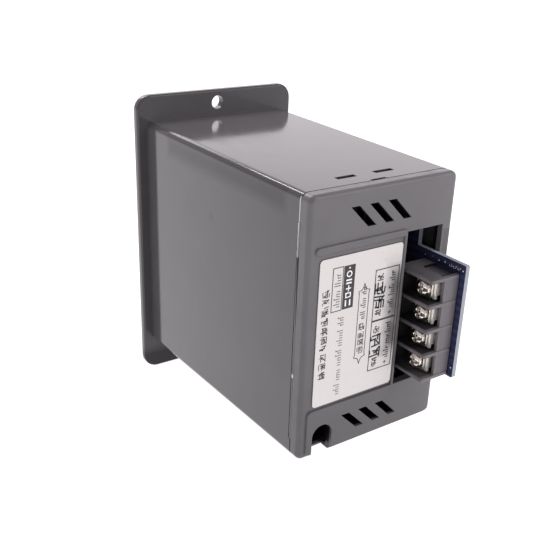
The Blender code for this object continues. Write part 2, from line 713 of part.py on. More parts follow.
def rocker_switch(root):
    """Snap-in switch case with its bezel, the rocker on its pivot, and three tabs."""
    half_x, half_z = BEZEL_SIZE[0] / 2, BEZEL_SIZE[1] / 2
    bezel_back = -FLANGE_THICK - GAP
    case = block("switch_case", (-half_x, bezel_back - 2.0 * MM, ROCKER_Z - half_z),
                 (half_x, bezel_back, ROCKER_Z + half_z), "switch_plastic", round_axis=1,
                 radius=1.0 * MM, parent=root)
    round_front(case, 0.6 * MM)
    join(case, block("switch_body", (-SWITCH_SIZE[0] / 2, bezel_back - PAST,
                                     ROCKER_Z - SWITCH_SIZE[1] / 2),
                     (SWITCH_SIZE[0] / 2, SWITCH_BACK, ROCKER_Z + SWITCH_SIZE[1] / 2)))
    well_x = ROCKER_R + GAP
    well_z = ROCKER_HALF_WIDTH + GAP
    cut(case, block("rocker_well", (-well_x, -8 * MM, ROCKER_Z - well_z),
                    (well_x, 3.2 * MM, ROCKER_Z + well_z)),
        rod("pivot_hole", (0.0, ROCKER_AXIS_Y, ROCKER_Z - 6.0 * MM), 1.3 * MM, 12.0 * MM, "+Z",
            segments=20))
    smooth(case)
    rocker(root)
    for index, x in enumerate((-6.4 * MM, 0.0, 6.4 * MM)):
        tab = block(f"switch_tab_{index + 1}", (x - 0.4 * MM, SWITCH_BACK + GAP,
                                                ROCKER_Z - 2.4 * MM),
                    (x + 0.4 * MM, SWITCH_BACK + 7.5 * MM, ROCKER_Z + 2.4 * MM),
                    "tinned_brass", parent=root)
        soften(tab, 0.15 * MM, segments=1)


def rocker(root):
    axis = empty("rocker_axis", (0.0, ROCKER_AXIS_Y, ROCKER_Z), root)
    plate = outline("rocker", rocker_profile(), 2 * ROCKER_HALF_WIDTH, axis.location,
                    "switch_plastic", parent=axis)
    plate.data.transform(Matrix.Rotation(-math.pi / 2, 4, "X"))
    join(plate, rod("rocker_pivot", (0.0, ROCKER_AXIS_Y, ROCKER_Z - 5.7 * MM), 1.0 * MM,
                    11.4 * MM, "+Z", segments=20))
    smooth(plate)


def power_board(root):
    """Upright board whose tab leaves the cover's window."""
    board = block("power_board", (BOARD_X[0], BOARD_Y[0], BOARD_Z[0]),
                  (BOARD_X[1], BOARD_Y[1], BOARD_Z[1]), "blue_board", parent=root)
    tab = block("board_tab", (BOARD_X[0], BOARD_Y[1] - 2 * MM, TAB_Z[0]),
                (BOARD_X[1], TAB_END, TAB_Z[1]), round_axis=0, radius=0.6 * MM, segments=2)
    join(board, tab)
    thickness = BOARD_X[1] - BOARD_X[0]
    for y, z in BOARD_SCREWS:
        cut(board, rod("board_hole", (BOARD_X[0] - PAST, y, z), 1.8 * MM, thickness + 2 * PAST,
                       "+X", segments=20))
    for pole in range(POLES):
        cut(board, leg_slot("board_leg_slot", pole, BOARD_X[0] - PAST, BOARD_X[1] + PAST))
    smooth(board)
    for index, (y, z) in enumerate(BOARD_SCREWS):
        screw = [(0.0, 2.0 * MM), (1.6 * MM, 1.9 * MM), (2.5 * MM, 1.3 * MM), (2.7 * MM, 0.0),
                 (1.1 * MM, 0.0), (1.1 * MM, -4.0 * MM), (0.0, -4.0 * MM)]
        fixing = turned(f"board_screw_{index + 1}", screw, (BOARD_X[1] + GAP, y, z), "+X",
                        "nickel_steel", segments=20, parent=root)
        smooth(fixing)


def pole_z(pole):
    return FIRST_POLE_Z - pole * PITCH


def leg_slot(name, pole, x_low, x_high):
    """Hole for one terminal's solder leg."""
    z = pole_z(pole)
    return block(name, (x_low, CLAMP_Y[1] - CLAMP_THICK - GAP, z - LEG_WIDTH / 2 - GAP),
                 (x_high, CLAMP_Y[1] + GAP, z + LEG_WIDTH / 2 + GAP))


def terminal_block(root):
    """Moulded base with a barrier on each side of every pole and a low wall along its far side."""
    floor = BOARD_X[1] + GAP
    top = pole_z(0) + PITCH / 2
    bottom = pole_z(POLES - 1) - PITCH / 2
    base = block("terminal_block", (floor, BLOCK_Y[0], bottom), (BLOCK_BASE, BLOCK_Y[1], top),
                 "block_plastic", parent=root)
    for index in range(POLES + 1):
        z = top - index * PITCH
        fin = block("barrier", (floor, BLOCK_Y[0] - FIN_PROUD, z - FIN_THICK / 2),
                    (FIN_TOP, BLOCK_Y[1] + FIN_PROUD, z + FIN_THICK / 2),
                    round_axis=2, radius=FIN_CORNER, segments=2)
        join(base, soften(fin, 0.15 * MM, segments=1))
    join(base, block("back_wall", (floor + PAST, BLOCK_Y[0] + 0.1 * MM, bottom),
                     (FIN_TOP - 2.2 * MM, BLOCK_Y[0] + 1.5 * MM, top)),
         block("outer_wall", (floor + PAST, OUTER_WALL_Y, bottom),
               (OUTER_WALL_TOP, BLOCK_Y[1] - 0.02 * MM, top)))
    for inner, outer in ((top + FIN_THICK / 2 - END_RECESS_DEPTH, top + PAST),
                         (bottom - FIN_THICK / 2 + END_RECESS_DEPTH, bottom - PAST)):
        cut(base, block("end_recess", (floor - PAST, END_RECESS_Y[0], min(inner, outer)),
                        (END_RECESS_TOP, END_RECESS_Y[1], max(inner, outer))))
    for pole in range(POLES):
        cut(base, rod("screw_well", (THREAD_TIP - GAP, SCREW_Y, pole_z(pole)), THREAD_R + GAP,
                      6 * MM, "+X", segments=20),
            leg_slot("block_leg_slot", pole, floor - PAST, BLOCK_BASE + PAST))
    smooth(base)


def terminals(root):
    for pole in range(POLES):
        terminal_plate(root, pole)
        axis = empty(f"terminal_axis_{pole + 1}", (0.0, SCREW_Y, pole_z(pole)), root)
        terminal_washer(axis, pole)
        terminal_screw(axis, pole)


def terminal_plate(root, pole):
    """Bridge of tinned brass: a top plate, a short inner leg and a long solder leg."""
    z = pole_z(pole)
    half = CLAMP_WIDTH / 2
    plate = block(f"terminal_plate_{pole + 1}", (CLAMP_TOP - CLAMP_THICK, CLAMP_Y[0], z - half),
                  (CLAMP_TOP, CLAMP_Y[1], z + half), "tinned_brass", parent=root)
    half = LEG_WIDTH / 2
    join(plate, block("solder_leg", (LEG_TIP, CLAMP_Y[1] - CLAMP_THICK, z - half),
                      (CLAMP_TOP - 0.1 * MM, CLAMP_Y[1] - 0.02 * MM, z + half)),
         block("inner_leg", (BLOCK_BASE + GAP, CLAMP_Y[0] + 0.02 * MM, z - half),
               (CLAMP_TOP - 0.1 * MM, CLAMP_Y[0] + CLAMP_THICK, z + half)))
    cut(plate, rod("plate_hole", (CLAMP_TOP - 2 * PAST, SCREW_Y, z), THREAD_R + 0.2 * MM,
                   4 * PAST, "+X", segments=20))
    smooth(plate)


def terminal_washer(axis, pole):
    z = pole_z(pole)
    start = CLAMP_TOP + GAP
    half = WASHER_SIZE / 2
    washer = block(f"terminal_washer_{pole + 1}", (start, SCREW_Y - half, z - half),
                   (start + WASHER_THICK, SCREW_Y + half, z + half), "nickel_steel",
                   round_axis=0, radius=0.6 * MM, segments=2, parent=axis)
    cut(washer, rod("washer_hole", (start - PAST, SCREW_Y, z), THREAD_R + 0.2 * MM, 3 * PAST,
                    "+X", segments=20))
    smooth(washer)


def terminal_screw(axis, pole):
    """Pan head with a combined slot and cross recess, on a plain shank."""
    z = pole_z(pole)
    seat = CLAMP_TOP + 2 * GAP + WASHER_THICK
    shank = THREAD_TIP - seat
    profile = [(0.0, HEAD_THICK), (HEAD_R * 0.55, HEAD_THICK - 0.08 * MM),
               (HEAD_R * 0.86, HEAD_THICK * 0.75), (HEAD_R, HEAD_THICK * 0.35),
               (HEAD_R, 0.0), (THREAD_R, 0.0), (THREAD_R, shank + 0.4 * MM),
               (THREAD_R - 0.4 * MM, shank), (0.0, shank)]
    screw = turned(f"terminal_screw_{pole + 1}", profile, (seat, SCREW_Y, z), "+X",
                   "nickel_steel", segments=24, parent=axis)
    top = seat + HEAD_THICK
    cut(screw, block("screw_slot", (top - 0.9 * MM, SCREW_Y - 4 * MM, z - 0.4 * MM),
                     (top + PAST, SCREW_Y + 4 * MM, z + 0.4 * MM)),
        block("screw_cross", (top - 1.2 * MM, SCREW_Y - 0.45 * MM, z - 1.6 * MM),
              (top + PAST, SCREW_Y + 0.45 * MM, z + 1.6 * MM)))
    smooth(screw)


def heatsink(root):
    """Comb of aluminium over the transistors, its fins running along Y."""
    x_low, x_high = SINK_X
    base, root_z, tip = SINK_Z
    points = [(x_low, base), (x_high, base), (x_high, tip)]
    step = (x_high - x_low - SINK_FIN_THICK) / (SINK_FINS - 1)
    for index in reversed(range(SINK_FINS - 1)):
        left = x_low + index * step + SINK_FIN_THICK
        right = x_low + (index + 1) * step
        points += [(right, tip), (right, root_z), (left, root_z), (left, tip)]
    points.append((x_low, tip))
    middle = Vector((0.0, (SINK_Y[0] + SINK_Y[1]) / 2, 0.0))
    outline("heatsink", points, SINK_Y[1] - SINK_Y[0], middle, "extruded_aluminium",
            parent=root)


def transistor(root, index, y):
    """Power transistor under the heatsink: package, metal tab and three leads to the board."""
    top = SINK_Z[0] - GAP
    package = block(f"transistor_{index + 1}", (-14.0 * MM, y - 5 * MM, top - 4.5 * MM),
                    (-5.0 * MM, y + 5 * MM, top - 0.6 * MM), "moulded_package", parent=root)
    soften(package, 0.3 * MM, segments=1)
    join(package, block("transistor_tab", (-12 * MM, y - 5 * MM + 0.1 * MM, top - 1.3 * MM),
                        (1.5 * MM, y + 5 * MM - 0.1 * MM, top)))
    for lead in (-1, 0, 1):
        lead_y = y + lead * 2.54 * MM
        join(package, block("transistor_lead", (BOARD_X[1] + GAP, lead_y - 0.4 * MM,
                                                top - 3.2 * MM),
                            (-13.5 * MM, lead_y + 0.4 * MM, top - 2.6 * MM)))


def capacitor(root, index, y):
    """Electrolytic can that stands on the board, with a rolled groove and a scored top."""
    can = [(0.0, CAN_LENGTH), (CAN_R - 1.4 * MM, CAN_LENGTH),
           (CAN_R - 0.9 * MM, CAN_LENGTH + 0.4 * MM),
           (CAN_R - 0.3 * MM, CAN_LENGTH + 0.1 * MM), (CAN_R, CAN_LENGTH - 0.6 * MM),
           (CAN_R, 3.4 * MM), (CAN_R - 0.7 * MM, 2.7 * MM), (CAN_R, 2.0 * MM), (CAN_R, 0.4 * MM),
           (CAN_R - 0.4 * MM, 0.0), (0.0, 0.0)]
    smooth(turned(f"capacitor_{index + 1}", can, (BOARD_X[1] + GAP, y, CAN_Z), "+X",
                  "can_sleeve", segments=28, parent=root))


def relay(root, index, y):
    depth, width, height = RELAY_SIZE
    low = Vector((BOARD_X[1] + GAP, y - width / 2, RELAY_Z - height / 2))
    case = block(f"relay_{index + 1}", low, low + Vector((depth, width, height)), "relay_case",
                 parent=root)
    soften(case, 0.5 * MM, segments=2)


def connectors(root):
    """Pin header at the back of the board for the leads from the front."""
    low = (BOARD_X[1] + GAP, 70 * MM, -16 * MM)
    high = (BOARD_X[1] + GAP + 8 * MM, 76 * MM, 4 * MM)
    header = block("lead_header", low, high, "connector_white", parent=root)
    soften(header, 0.3 * MM, segments=1)


def smooth_route(corners, per_span=7):
    """Catmull-Rom points through a wire's corners."""
    padded = [corners[0]] + corners + [corners[-1]]
    route = []
    for index in range(1, len(padded) - 2):
        before, start, end, after = (Vector(padded[index + offset]) for offset in (-1, 0, 1, 2))
        for step in range(per_span):
            t = step / per_span
            route.append(0.5 * (2 * start + (end - before) * t
                                + (2 * before - 5 * start + 4 * end - after) * t ** 2
                                + (3 * start - before - 3 * end + after) * t ** 3))
    return route + [Vector(corners[-1])]


def wire(root, name, corners, look):
    curve = bpy.data.curves.new(name, "CURVE")
    curve.dimensions = "3D"
    curve.bevel_depth = WIRE_R
    curve.bevel_resolution = 2
    curve.use_fill_caps = True
    route = smooth_route(corners)
    spline = curve.splines.new("POLY")
    spline.points.add(len(route) - 1)
    for point, place in zip(spline.points, route):
        point.co = (*place, 1.0)
    adopt(bpy.data.objects.new(name, curve), look, root)


def leads(root):
    """Loose leads from the header to the switch tabs and the potentiometer tags."""
    looks = ("wire_red", "wire_black", "wire_yellow")
    for index, look in enumerate(looks):
        spread = (index - 1) * 3.0 * MM
        header_z = -3.0 * MM + spread
        exit_x = BOARD_X[1] + GAP + 8 * MM + GAP
        tab_x = (index - 1) * 6.4 * MM
        wire(root, f"switch_lead_{index + 1}",
             [(exit_x, 73 * MM, header_z - 7 * MM), (2 * MM, 72 * MM, header_z - 10 * MM),
              (10 * MM + spread, 64 * MM, -16 * MM + spread),
              (13 * MM + spread, 44 * MM, -26 * MM + spread),
              (11 * MM + spread, 27 * MM, ROCKER_Z + spread / 3),
              (tab_x, SWITCH_BACK + 7.5 * MM + GAP + WIRE_R, ROCKER_Z)], look)
        pot_x = (1 - index) * 4.5 * MM
        wire(root, f"pot_lead_{index + 1}",
             [(exit_x, 73 * MM, header_z + 4.5 * MM - spread / 3),
              (4 * MM, 70 * MM, 2 * MM + spread),
              (16 * MM, 58 * MM, 3 * MM + spread), (19 * MM, 36 * MM, 1 * MM + spread),
              (12 * MM - index * 4 * MM, 18 * MM, -10 * MM),
              (pot_x, 4.6 * MM + GAP + WIRE_R, KNOB_Z - 12.2 * MM)], look)


def build():
    clear_scene()
    make_materials()
    root = empty("controller", (0.0, 0.0, 0.0))
    housing(root)
    rear_cover(root)
    rating_label(root)
    front_panel(root)
    potentiometer(root)
    speed_knob(root)
    rocker_switch(root)
    power_board(root)
    terminal_block(root)
    terminals(root)
    heatsink(root)
    for index, y in enumerate(TRANSISTOR_Y):
        transistor(root, index, y)
    for index, y in enumerate(CAN_Y):
        capacitor(root, index, y)
    for index, y in enumerate(RELAY_Y):
        relay(root, index, y)
    connectors(root)
    leads(root)
    bpy.context.view_layer.update()


build()
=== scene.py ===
"""Looks of the panel-mount motor speed controller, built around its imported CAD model.

Each CAD node that shows is stood for by a welded copy of its own mesh, and the hidden ones are
repainted. Printed marks, solder, silkscreen and the seam's moulding flash are meshes of their own.
"""

import json
import math
import random

import bmesh
import bpy
from mathutils import Matrix, Vector
from mathutils.bvhtree import BVHTree


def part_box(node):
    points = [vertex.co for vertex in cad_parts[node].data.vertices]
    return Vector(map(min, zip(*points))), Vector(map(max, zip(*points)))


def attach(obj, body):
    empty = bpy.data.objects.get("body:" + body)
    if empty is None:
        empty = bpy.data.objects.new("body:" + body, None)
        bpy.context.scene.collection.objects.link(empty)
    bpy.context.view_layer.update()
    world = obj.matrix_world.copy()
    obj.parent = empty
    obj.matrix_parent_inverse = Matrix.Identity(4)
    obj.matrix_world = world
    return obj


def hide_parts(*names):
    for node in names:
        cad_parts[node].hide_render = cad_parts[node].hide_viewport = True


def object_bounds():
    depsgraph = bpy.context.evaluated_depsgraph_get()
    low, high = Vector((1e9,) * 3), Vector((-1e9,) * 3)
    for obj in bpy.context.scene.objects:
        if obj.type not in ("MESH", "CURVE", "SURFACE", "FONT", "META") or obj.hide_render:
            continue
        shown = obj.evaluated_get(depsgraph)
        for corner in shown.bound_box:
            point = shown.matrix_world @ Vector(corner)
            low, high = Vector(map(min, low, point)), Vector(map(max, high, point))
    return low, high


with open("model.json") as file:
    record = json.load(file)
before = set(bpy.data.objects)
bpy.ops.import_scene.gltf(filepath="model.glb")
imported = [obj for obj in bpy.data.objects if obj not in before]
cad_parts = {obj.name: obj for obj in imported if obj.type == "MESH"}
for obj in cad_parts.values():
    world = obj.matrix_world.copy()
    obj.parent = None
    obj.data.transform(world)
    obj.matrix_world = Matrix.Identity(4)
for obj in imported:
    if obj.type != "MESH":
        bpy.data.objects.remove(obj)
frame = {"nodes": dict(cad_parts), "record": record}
cad_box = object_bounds()

MM = 0.001

# Camera and light
CAMERA_AT = (0.15803, 0.26664, 0.11224)
CAMERA_TURN = (1.1608, -0.0351, 2.5377)
LENS = 52.502
SENSOR = 36.0
WORLD_LIGHT = 0.6
LIGHT_TINT = (1.0, 0.95, 0.98)

# Soft lights: name, place, size and radiance
SOFTBOXES = (("overhead", (0.0, -0.55, 1.0), (0.6, 0.5), 9.0),
             ("low_back", (-0.02, -0.95, 0.60), (0.35, 0.25), 3.0),
             ("glint", (0.11, -0.68, 0.68), (0.11, 0.11), 16.0),
             ("behind", (-0.60, -0.80, 0.42), (0.9, 0.7), 0.9),
             ("right_fill", (-0.55, 0.70, 0.45), (0.6, 0.6), 2.4))

# Floor, the painted shadow under the body where the floor glows dimmer, and the white dome behind
# everything
FLOOR_HALF = 3.0
FLOOR_DROP = 0.2 * MM
FLOOR_GLOW = 1.0
FLOOR_TINT = (1.0, 0.97, 0.99, 1.0)
PAINTED_SHADOW = ((-0.026, 0.0, -1.0), (-0.004, 0.058, 1.0))
PAINTED_SHADOW_SOFT = 14 * MM
PAINTED_SHADOW_GLOW = 0.30
DOME_RADIUS = 0.98 * FLOOR_HALF
DOME_GLOW = 1.1

# Print on the label lies this far over it, and is this thick
INK_GAP = 0.01 * MM
INK_THICK = 0.03 * MM
SEED = 7

# Points closer than this are one point, and faces flatter than this are one face
WELD = 0.0005 * MM
FLAT = math.radians(0.5)

# Solder cones round the terminal legs: half width and depth of a leg, its centre behind the end
# of its plate, then how far each ring reaches out and how high it stands
LEG_HALF_Z, LEG_HALF_Y, LEG_BACK = 2.05, 0.50, 0.42
CONE_STEPS = 28
CONE_RINGS = ((1.10, 0.0), (0.95, 0.10), (0.66, 0.30), (0.42, 0.62), (0.25, 1.05), (0.14, 1.45))

# Moulding flash in the seam of the +X side, in mm
FLASH_START = 92.86
FLASH_DEPTH = 1.6
FLASH_HALF_Z = 35.95
FLASH_STEPS = 70
FLASH_WIDE_Z, FLASH_FLUSH_Z = 24.0, 8.0

NODES = frame["nodes"]
BODY_OF = {node: body for body, members in frame["record"]["behaviour"]["bodies"].items()
           for node in members}
SLOT_OF = {part["node"]: part["material_slot"] for part in frame["record"]["subparts"]}


# ---------------------------------------------------------------- material helpers

class Paint:
    """Builds one node material. Most methods return the output socket of a new node."""

    def __init__(self, name):
        self.material = bpy.data.materials.new(name)
        self.material.use_nodes = True
        self.nodes = self.material.node_tree.nodes
        self.links = self.material.node_tree.links
        self.shader = self.nodes["Principled BSDF"]
        coordinates = self.nodes.new("ShaderNodeTexCoord")
        self.place = coordinates.outputs["Object"]
        self.facing = coordinates.outputs["Normal"]

    def make(self, kind, inputs, output=0, **settings):
        node = self.nodes.new("ShaderNode" + kind)
        for key, value in settings.items():
            setattr(node, key, value)
        for socket, value in inputs.items():
            self.put(node.inputs[socket], value)
        return node.outputs[output]

    def put(self, socket, value):
        if isinstance(value, bpy.types.NodeSocket):
            self.links.new(value, socket)
        else:
            socket.default_value = value

    def noise(self, scale, detail=2.0, rough=0.5, stretch=None):
        at = self.place if stretch is None else self.stretched(stretch)
        return self.make("TexNoise", {"Vector": at, "Scale": scale, "Detail": detail,
                                      "Roughness": rough})

    def stretched(self, factors):
        return self.make("Mapping", {"Vector": self.place, "Scale": factors})

    def cells(self, scale):
        return self.make("TexVoronoi", {"Vector": self.place, "Scale": scale}, "Distance",
                         feature="F1")

    def span(self, value, low, high, to_low=0.0, to_high=1.0):
        return self.make("MapRange", {"Value": value, "From Min": low, "From Max": high,
                                      "To Min": to_low, "To Max": to_high}, clamp=True)

    def calc(self, operation, first, second=0.0):
        return self.make("Math", {0: first, 1: second}, operation=operation)

    def split(self, vector, axis):
        return self.make("SeparateXYZ", {0: vector}, axis)

    def mix(self, share, first, second):
        return self.make("Mix", {0: share, 6: first, 7: second}, 2, data_type="RGBA")

    def near(self, centre, radius, soft):
        """1 within radius of a point, falling to 0 over soft."""
        gap = self.make("VectorMath", {0: self.place, 1: centre}, "Value",
                        operation="DISTANCE")
        return self.span(gap, radius, radius + soft, 1.0, 0.0)

    def within(self, low, high, soft=0.3 * MM):
        """1 inside a box, falling to 0 over soft outside it."""
        centre = tuple((a + b) / 2 for a, b in zip(low, high))
        half = tuple((b - a) / 2 for a, b in zip(low, high))
        out = self.make("VectorMath", {0: self.place, 1: centre}, operation="SUBTRACT")
        out = self.make("VectorMath", {0: out}, operation="ABSOLUTE")
        out = self.make("VectorMath", {0: out, 1: half}, operation="SUBTRACT")
        worst = self.calc("MAXIMUM", self.split(out, 0),
                          self.calc("MAXIMUM", self.split(out, 1), self.split(out, 2)))
        return self.span(worst, 0.0, soft, 1.0, 0.0)

    def shade(self, colour, share, depth):
        """Darken a colour where share is 1, down to depth of itself."""
        dim = self.span(share, 0.0, 1.0, 1.0, depth)
        return self.make("VectorMath", {0: colour, "Scale": dim}, operation="SCALE")

    def bump(self, height, distance, normal=None):
        inputs = {"Height": height, "Distance": distance, "Strength": 1.0}
        if normal is not None:
            inputs["Normal"] = normal
        return self.make("Bump", inputs)

    def round_normal(self, radius):
        """Normal that turns smoothly over sharp edges."""
        return self.make("Bevel", {"Radius": radius}, samples=4)

    def edges(self, radius):
        """0 on open surfaces, 1 on edges and corners."""
        rounded = self.make("Bevel", {"Radius": radius}, samples=4)
        true = self.make("NewGeometry", {}, "Normal")
        turn = self.make("VectorMath", {0: rounded, 1: true}, "Value",
                         operation="DOT_PRODUCT")
        return self.span(turn, 0.97, 0.80)

    def finish(self, colour=None, roughness=None, normal=None, **constants):
        for socket, value in (("Base Color", colour), ("Roughness", roughness),
                              ("Normal", normal)):
            if value is not None:
                self.put(self.shader.inputs[socket], value)
        for name, value in constants.items():
            self.shader.inputs[name.replace("_", " ")].default_value = value
        return self.material


def tone(colour, factor):
    return tuple(channel * factor for channel in colour) + (1.0,)


def moulded(name, colour, rough, grain=0.02, grain_scale=3000.0, wave=0.0, mottle=0.12,
            wear=0.5, rounding=0.25, specks=0.0, dimple=None, ior=1.5, painted_shade_boxes=(),
            pale=(), painted_light_ramps=()):
    """Moulded plastic: mottled colour, fine grain, slow waves, rubbed edges, a few specks.

    Each of the painted shade boxes is a box, a depth and a soft border: surfaces inside it keep
    that share of their light, a painted shade that dims both the colour and the specular. The pale
    boxes are painted highlights along an edge. Each painted light ramp is an axis, two places along
    it and the colour's share
    at each: a painted gradient of light and shade.
    """
    p = Paint(name)
    clouds = p.noise(90.0, 3.0)
    base = p.mix(clouds, tone(colour, 1.0 - mottle), tone(colour, 1.0 + mottle))
    rubs = p.noise(700.0, 4.0, 0.7)
    rim = p.calc("MULTIPLY", p.edges(0.5 * MM), p.span(rubs, 0.35, 0.65))
    base = p.mix(p.calc("MULTIPLY", rim, wear), base, tone(colour, 2.6))
    if specks:
        dots = p.span(p.cells(160.0), specks, specks * 0.6)
        chosen = p.span(p.noise(60.0, 0.0), 0.70, 0.72)
        base = p.mix(p.calc("MULTIPLY", dots, chosen), base, (0.30, 0.30, 0.30, 1.0))
    # Painted highlight: pale colour inside each box, a highlight painted along an edge
    for low, high in pale:
        base = p.mix(p.within(low, high, 0.1 * MM), base, (0.62, 0.61, 0.62, 1.0))
    normal = p.round_normal(rounding * MM)
    if dimple is not None:
        spot = p.near(dimple, 1.0 * MM, 1.2 * MM)
        base = p.mix(p.calc("MULTIPLY", spot, 0.30), base, tone(colour, 0.3))
        normal = p.bump(spot, -0.03 * MM, normal=normal)
    smears = p.noise(220.0, 5.0, 0.65, (1.0, 0.35, 1.0))
    roughness = p.span(smears, 0.3, 0.7, rough * 0.8, rough * 1.25)
    if wave:
        normal = p.bump(p.noise(110.0, 1.0), wave * MM, normal=normal)
    normal = p.bump(p.noise(grain_scale, 2.0), grain * MM, normal=normal)
    # Painted light: the colour grows lighter or darker along one axis, a painted gradient of light
    # and shade
    for axis, *limits in painted_light_ramps:
        lift = p.span(p.split(p.place, axis), *limits)
        base = p.make("VectorMath", {0: base, "Scale": lift}, operation="SCALE")
    gloss = None
    # Painted shade: inside each box the colour and the specular level are darkened to the box's
    # share
    for low, high, depth, soft in painted_shade_boxes:
        share = p.within(low, high, soft)
        base = p.shade(base, share, depth)
        shine = p.span(share, 0.0, 1.0, 0.5, 0.5 * depth)
        gloss = shine if gloss is None else p.calc("MINIMUM", gloss, shine)
    if gloss is not None:
        p.put(p.shader.inputs["Specular IOR Level"], gloss)
    return p.finish(base, roughness, normal, IOR=ior)


def printed_film(name, colour, rough, fibre=0.004, painted_shade_edge=None):
    """Coated paper or printed film: very even, with a faint fibre grain and a painted shade along
    one border.
    """
    p = Paint(name)
    tint = p.mix(p.noise(300.0, 4.0, 0.7), tone(colour, 0.955), tone(colour, 1.02))
    # Painted shade: the film darkened inside a box with a soft border, the shade beside a
    # neighbouring part
    if painted_shade_edge is not None:
        share = p.calc("MULTIPLY", p.within(*painted_shade_edge, 4.5 * MM),
                       p.span(p.noise(160.0, 3.0, 0.6), 0.25, 0.6, 0.75, 1.0))
        tint = p.shade(tint, share, 0.22)
    roughness = p.span(p.noise(900.0, 2.0), 0.3, 0.7, rough * 0.85, rough * 1.15)
    normal = p.bump(p.noise(2200.0, 3.0), fibre * MM)
    return p.finish(tint, roughness, normal)


def ink(name, colour):
    """Printed ink: broken slightly by the stock under it."""
    p = Paint(name)
    tint = p.mix(p.span(p.noise(2600.0, 2.0), 0.35, 0.75), tone(colour, 1.0),
                 tone(colour, 1.7))
    return p.finish(tint, p.span(p.noise(1500.0), 0.3, 0.7, 0.35, 0.5),
                    p.bump(p.noise(2200.0, 3.0), 0.004 * MM))


def plated(name, colour, rough, brushed=None, tarnish=0.25, wave=0.01, metallic=1.0):
    """Plated metal: tool marks, dull patches and bright rubbed edges."""
    p = Paint(name)
    patches = p.noise(500.0, 4.0, 0.65)
    tint = p.mix(p.span(patches, 0.35, 0.7), tone(colour, 1.0), tone(colour, 1.0 - tarnish))
    tint = p.mix(p.edges(0.15 * MM), tint, tone(colour, 1.1))
    marks = p.noise(1500.0, 3.0, 0.6, brushed)
    roughness = p.span(marks, 0.3, 0.7, rough * 0.7, rough * 1.4)
    normal = p.bump(p.noise(500.0, 2.0), wave * MM, normal=p.round_normal(0.12 * MM))
    normal = p.bump(marks, 0.002 * MM, normal=normal)
    return p.finish(tint, roughness, normal, Metallic=metallic)


def turned_metal(name, colour, rough, centre):
    """Spun aluminium with rings about a Y axis through centre."""
    p = Paint(name)
    flat = p.make("VectorMath", {0: p.place, 1: (1.0, 0.0, 1.0)}, operation="MULTIPLY")
    gap = p.make("VectorMath", {0: flat, 1: (centre[0], 0.0, centre[2])}, "Value",
                 operation="DISTANCE")
    rings = p.make("TexNoise", {"W": gap, "Scale": 3500.0, "Detail": 3.0},
                   noise_dimensions="1D")
    tint = p.mix(p.span(rings, 0.3, 0.7), tone(colour, 0.55), tone(colour, 1.15))
    roughness = p.span(rings, 0.3, 0.7, rough * 0.8, rough * 1.3)
    normal = p.bump(rings, 0.006 * MM, normal=p.round_normal(0.15 * MM))
    return p.finish(tint, roughness, normal, Metallic=1.0)


def circuit_board(name, mask, core):
    """Solder mask over copper on the two broad faces, pale glass laminate on the cut edges."""
    p = Paint(name)
    broad = p.span(p.calc("ABSOLUTE", p.split(p.facing, 0)), 0.6, 0.8)
    bars = p.make("TexBrick", {"Vector": p.make("Mapping", {"Vector": p.place,
                                                            "Rotation": (math.pi / 2, 0, 0)}),
                               "Scale": 130.0, "Mortar Size": 0.09, "Mortar Smooth": 0.1,
                               "Row Height": 0.35, "Brick Width": 1.7}, "Fac")
    cloud = p.noise(240.0, 2.0)
    copper = p.mix(bars, tone(mask, 1.35), tone(mask, 0.75))
    copper = p.mix(p.span(cloud, 0.4, 0.6, 0.0, 0.35), copper, tone(mask, 1.0))
    fibre = p.noise(1800.0, 3.0, 0.6, (1.0, 0.3, 0.3))
    cut = p.mix(fibre, tone(core, 0.75), tone(core, 1.15))
    tint = p.mix(broad, cut, copper)
    roughness = p.span(broad, 0.0, 1.0, 0.55, 0.22)
    normal = p.bump(bars, -0.02 * MM, normal=p.round_normal(0.1 * MM))
    normal = p.bump(fibre, 0.004 * MM, normal=normal)
    return p.finish(tint, roughness, normal)


def wire_sleeve(name, colour):
    """Soft wire insulation with a faint ripple."""
    p = Paint(name)
    tint = p.mix(p.noise(400.0, 3.0), tone(colour, 0.85), tone(colour, 1.12))
    return p.finish(tint, p.span(p.noise(900.0), 0.3, 0.7, 0.32, 0.5),
                    p.bump(p.noise(1400.0, 2.0), 0.01 * MM))


def box_mm(*bounds):
    """Two corners in metres from x, y and z ranges in millimetres."""
    return (tuple(bound * MM for bound in bounds[0::2]),
            tuple(bound * MM for bound in bounds[1::2]))


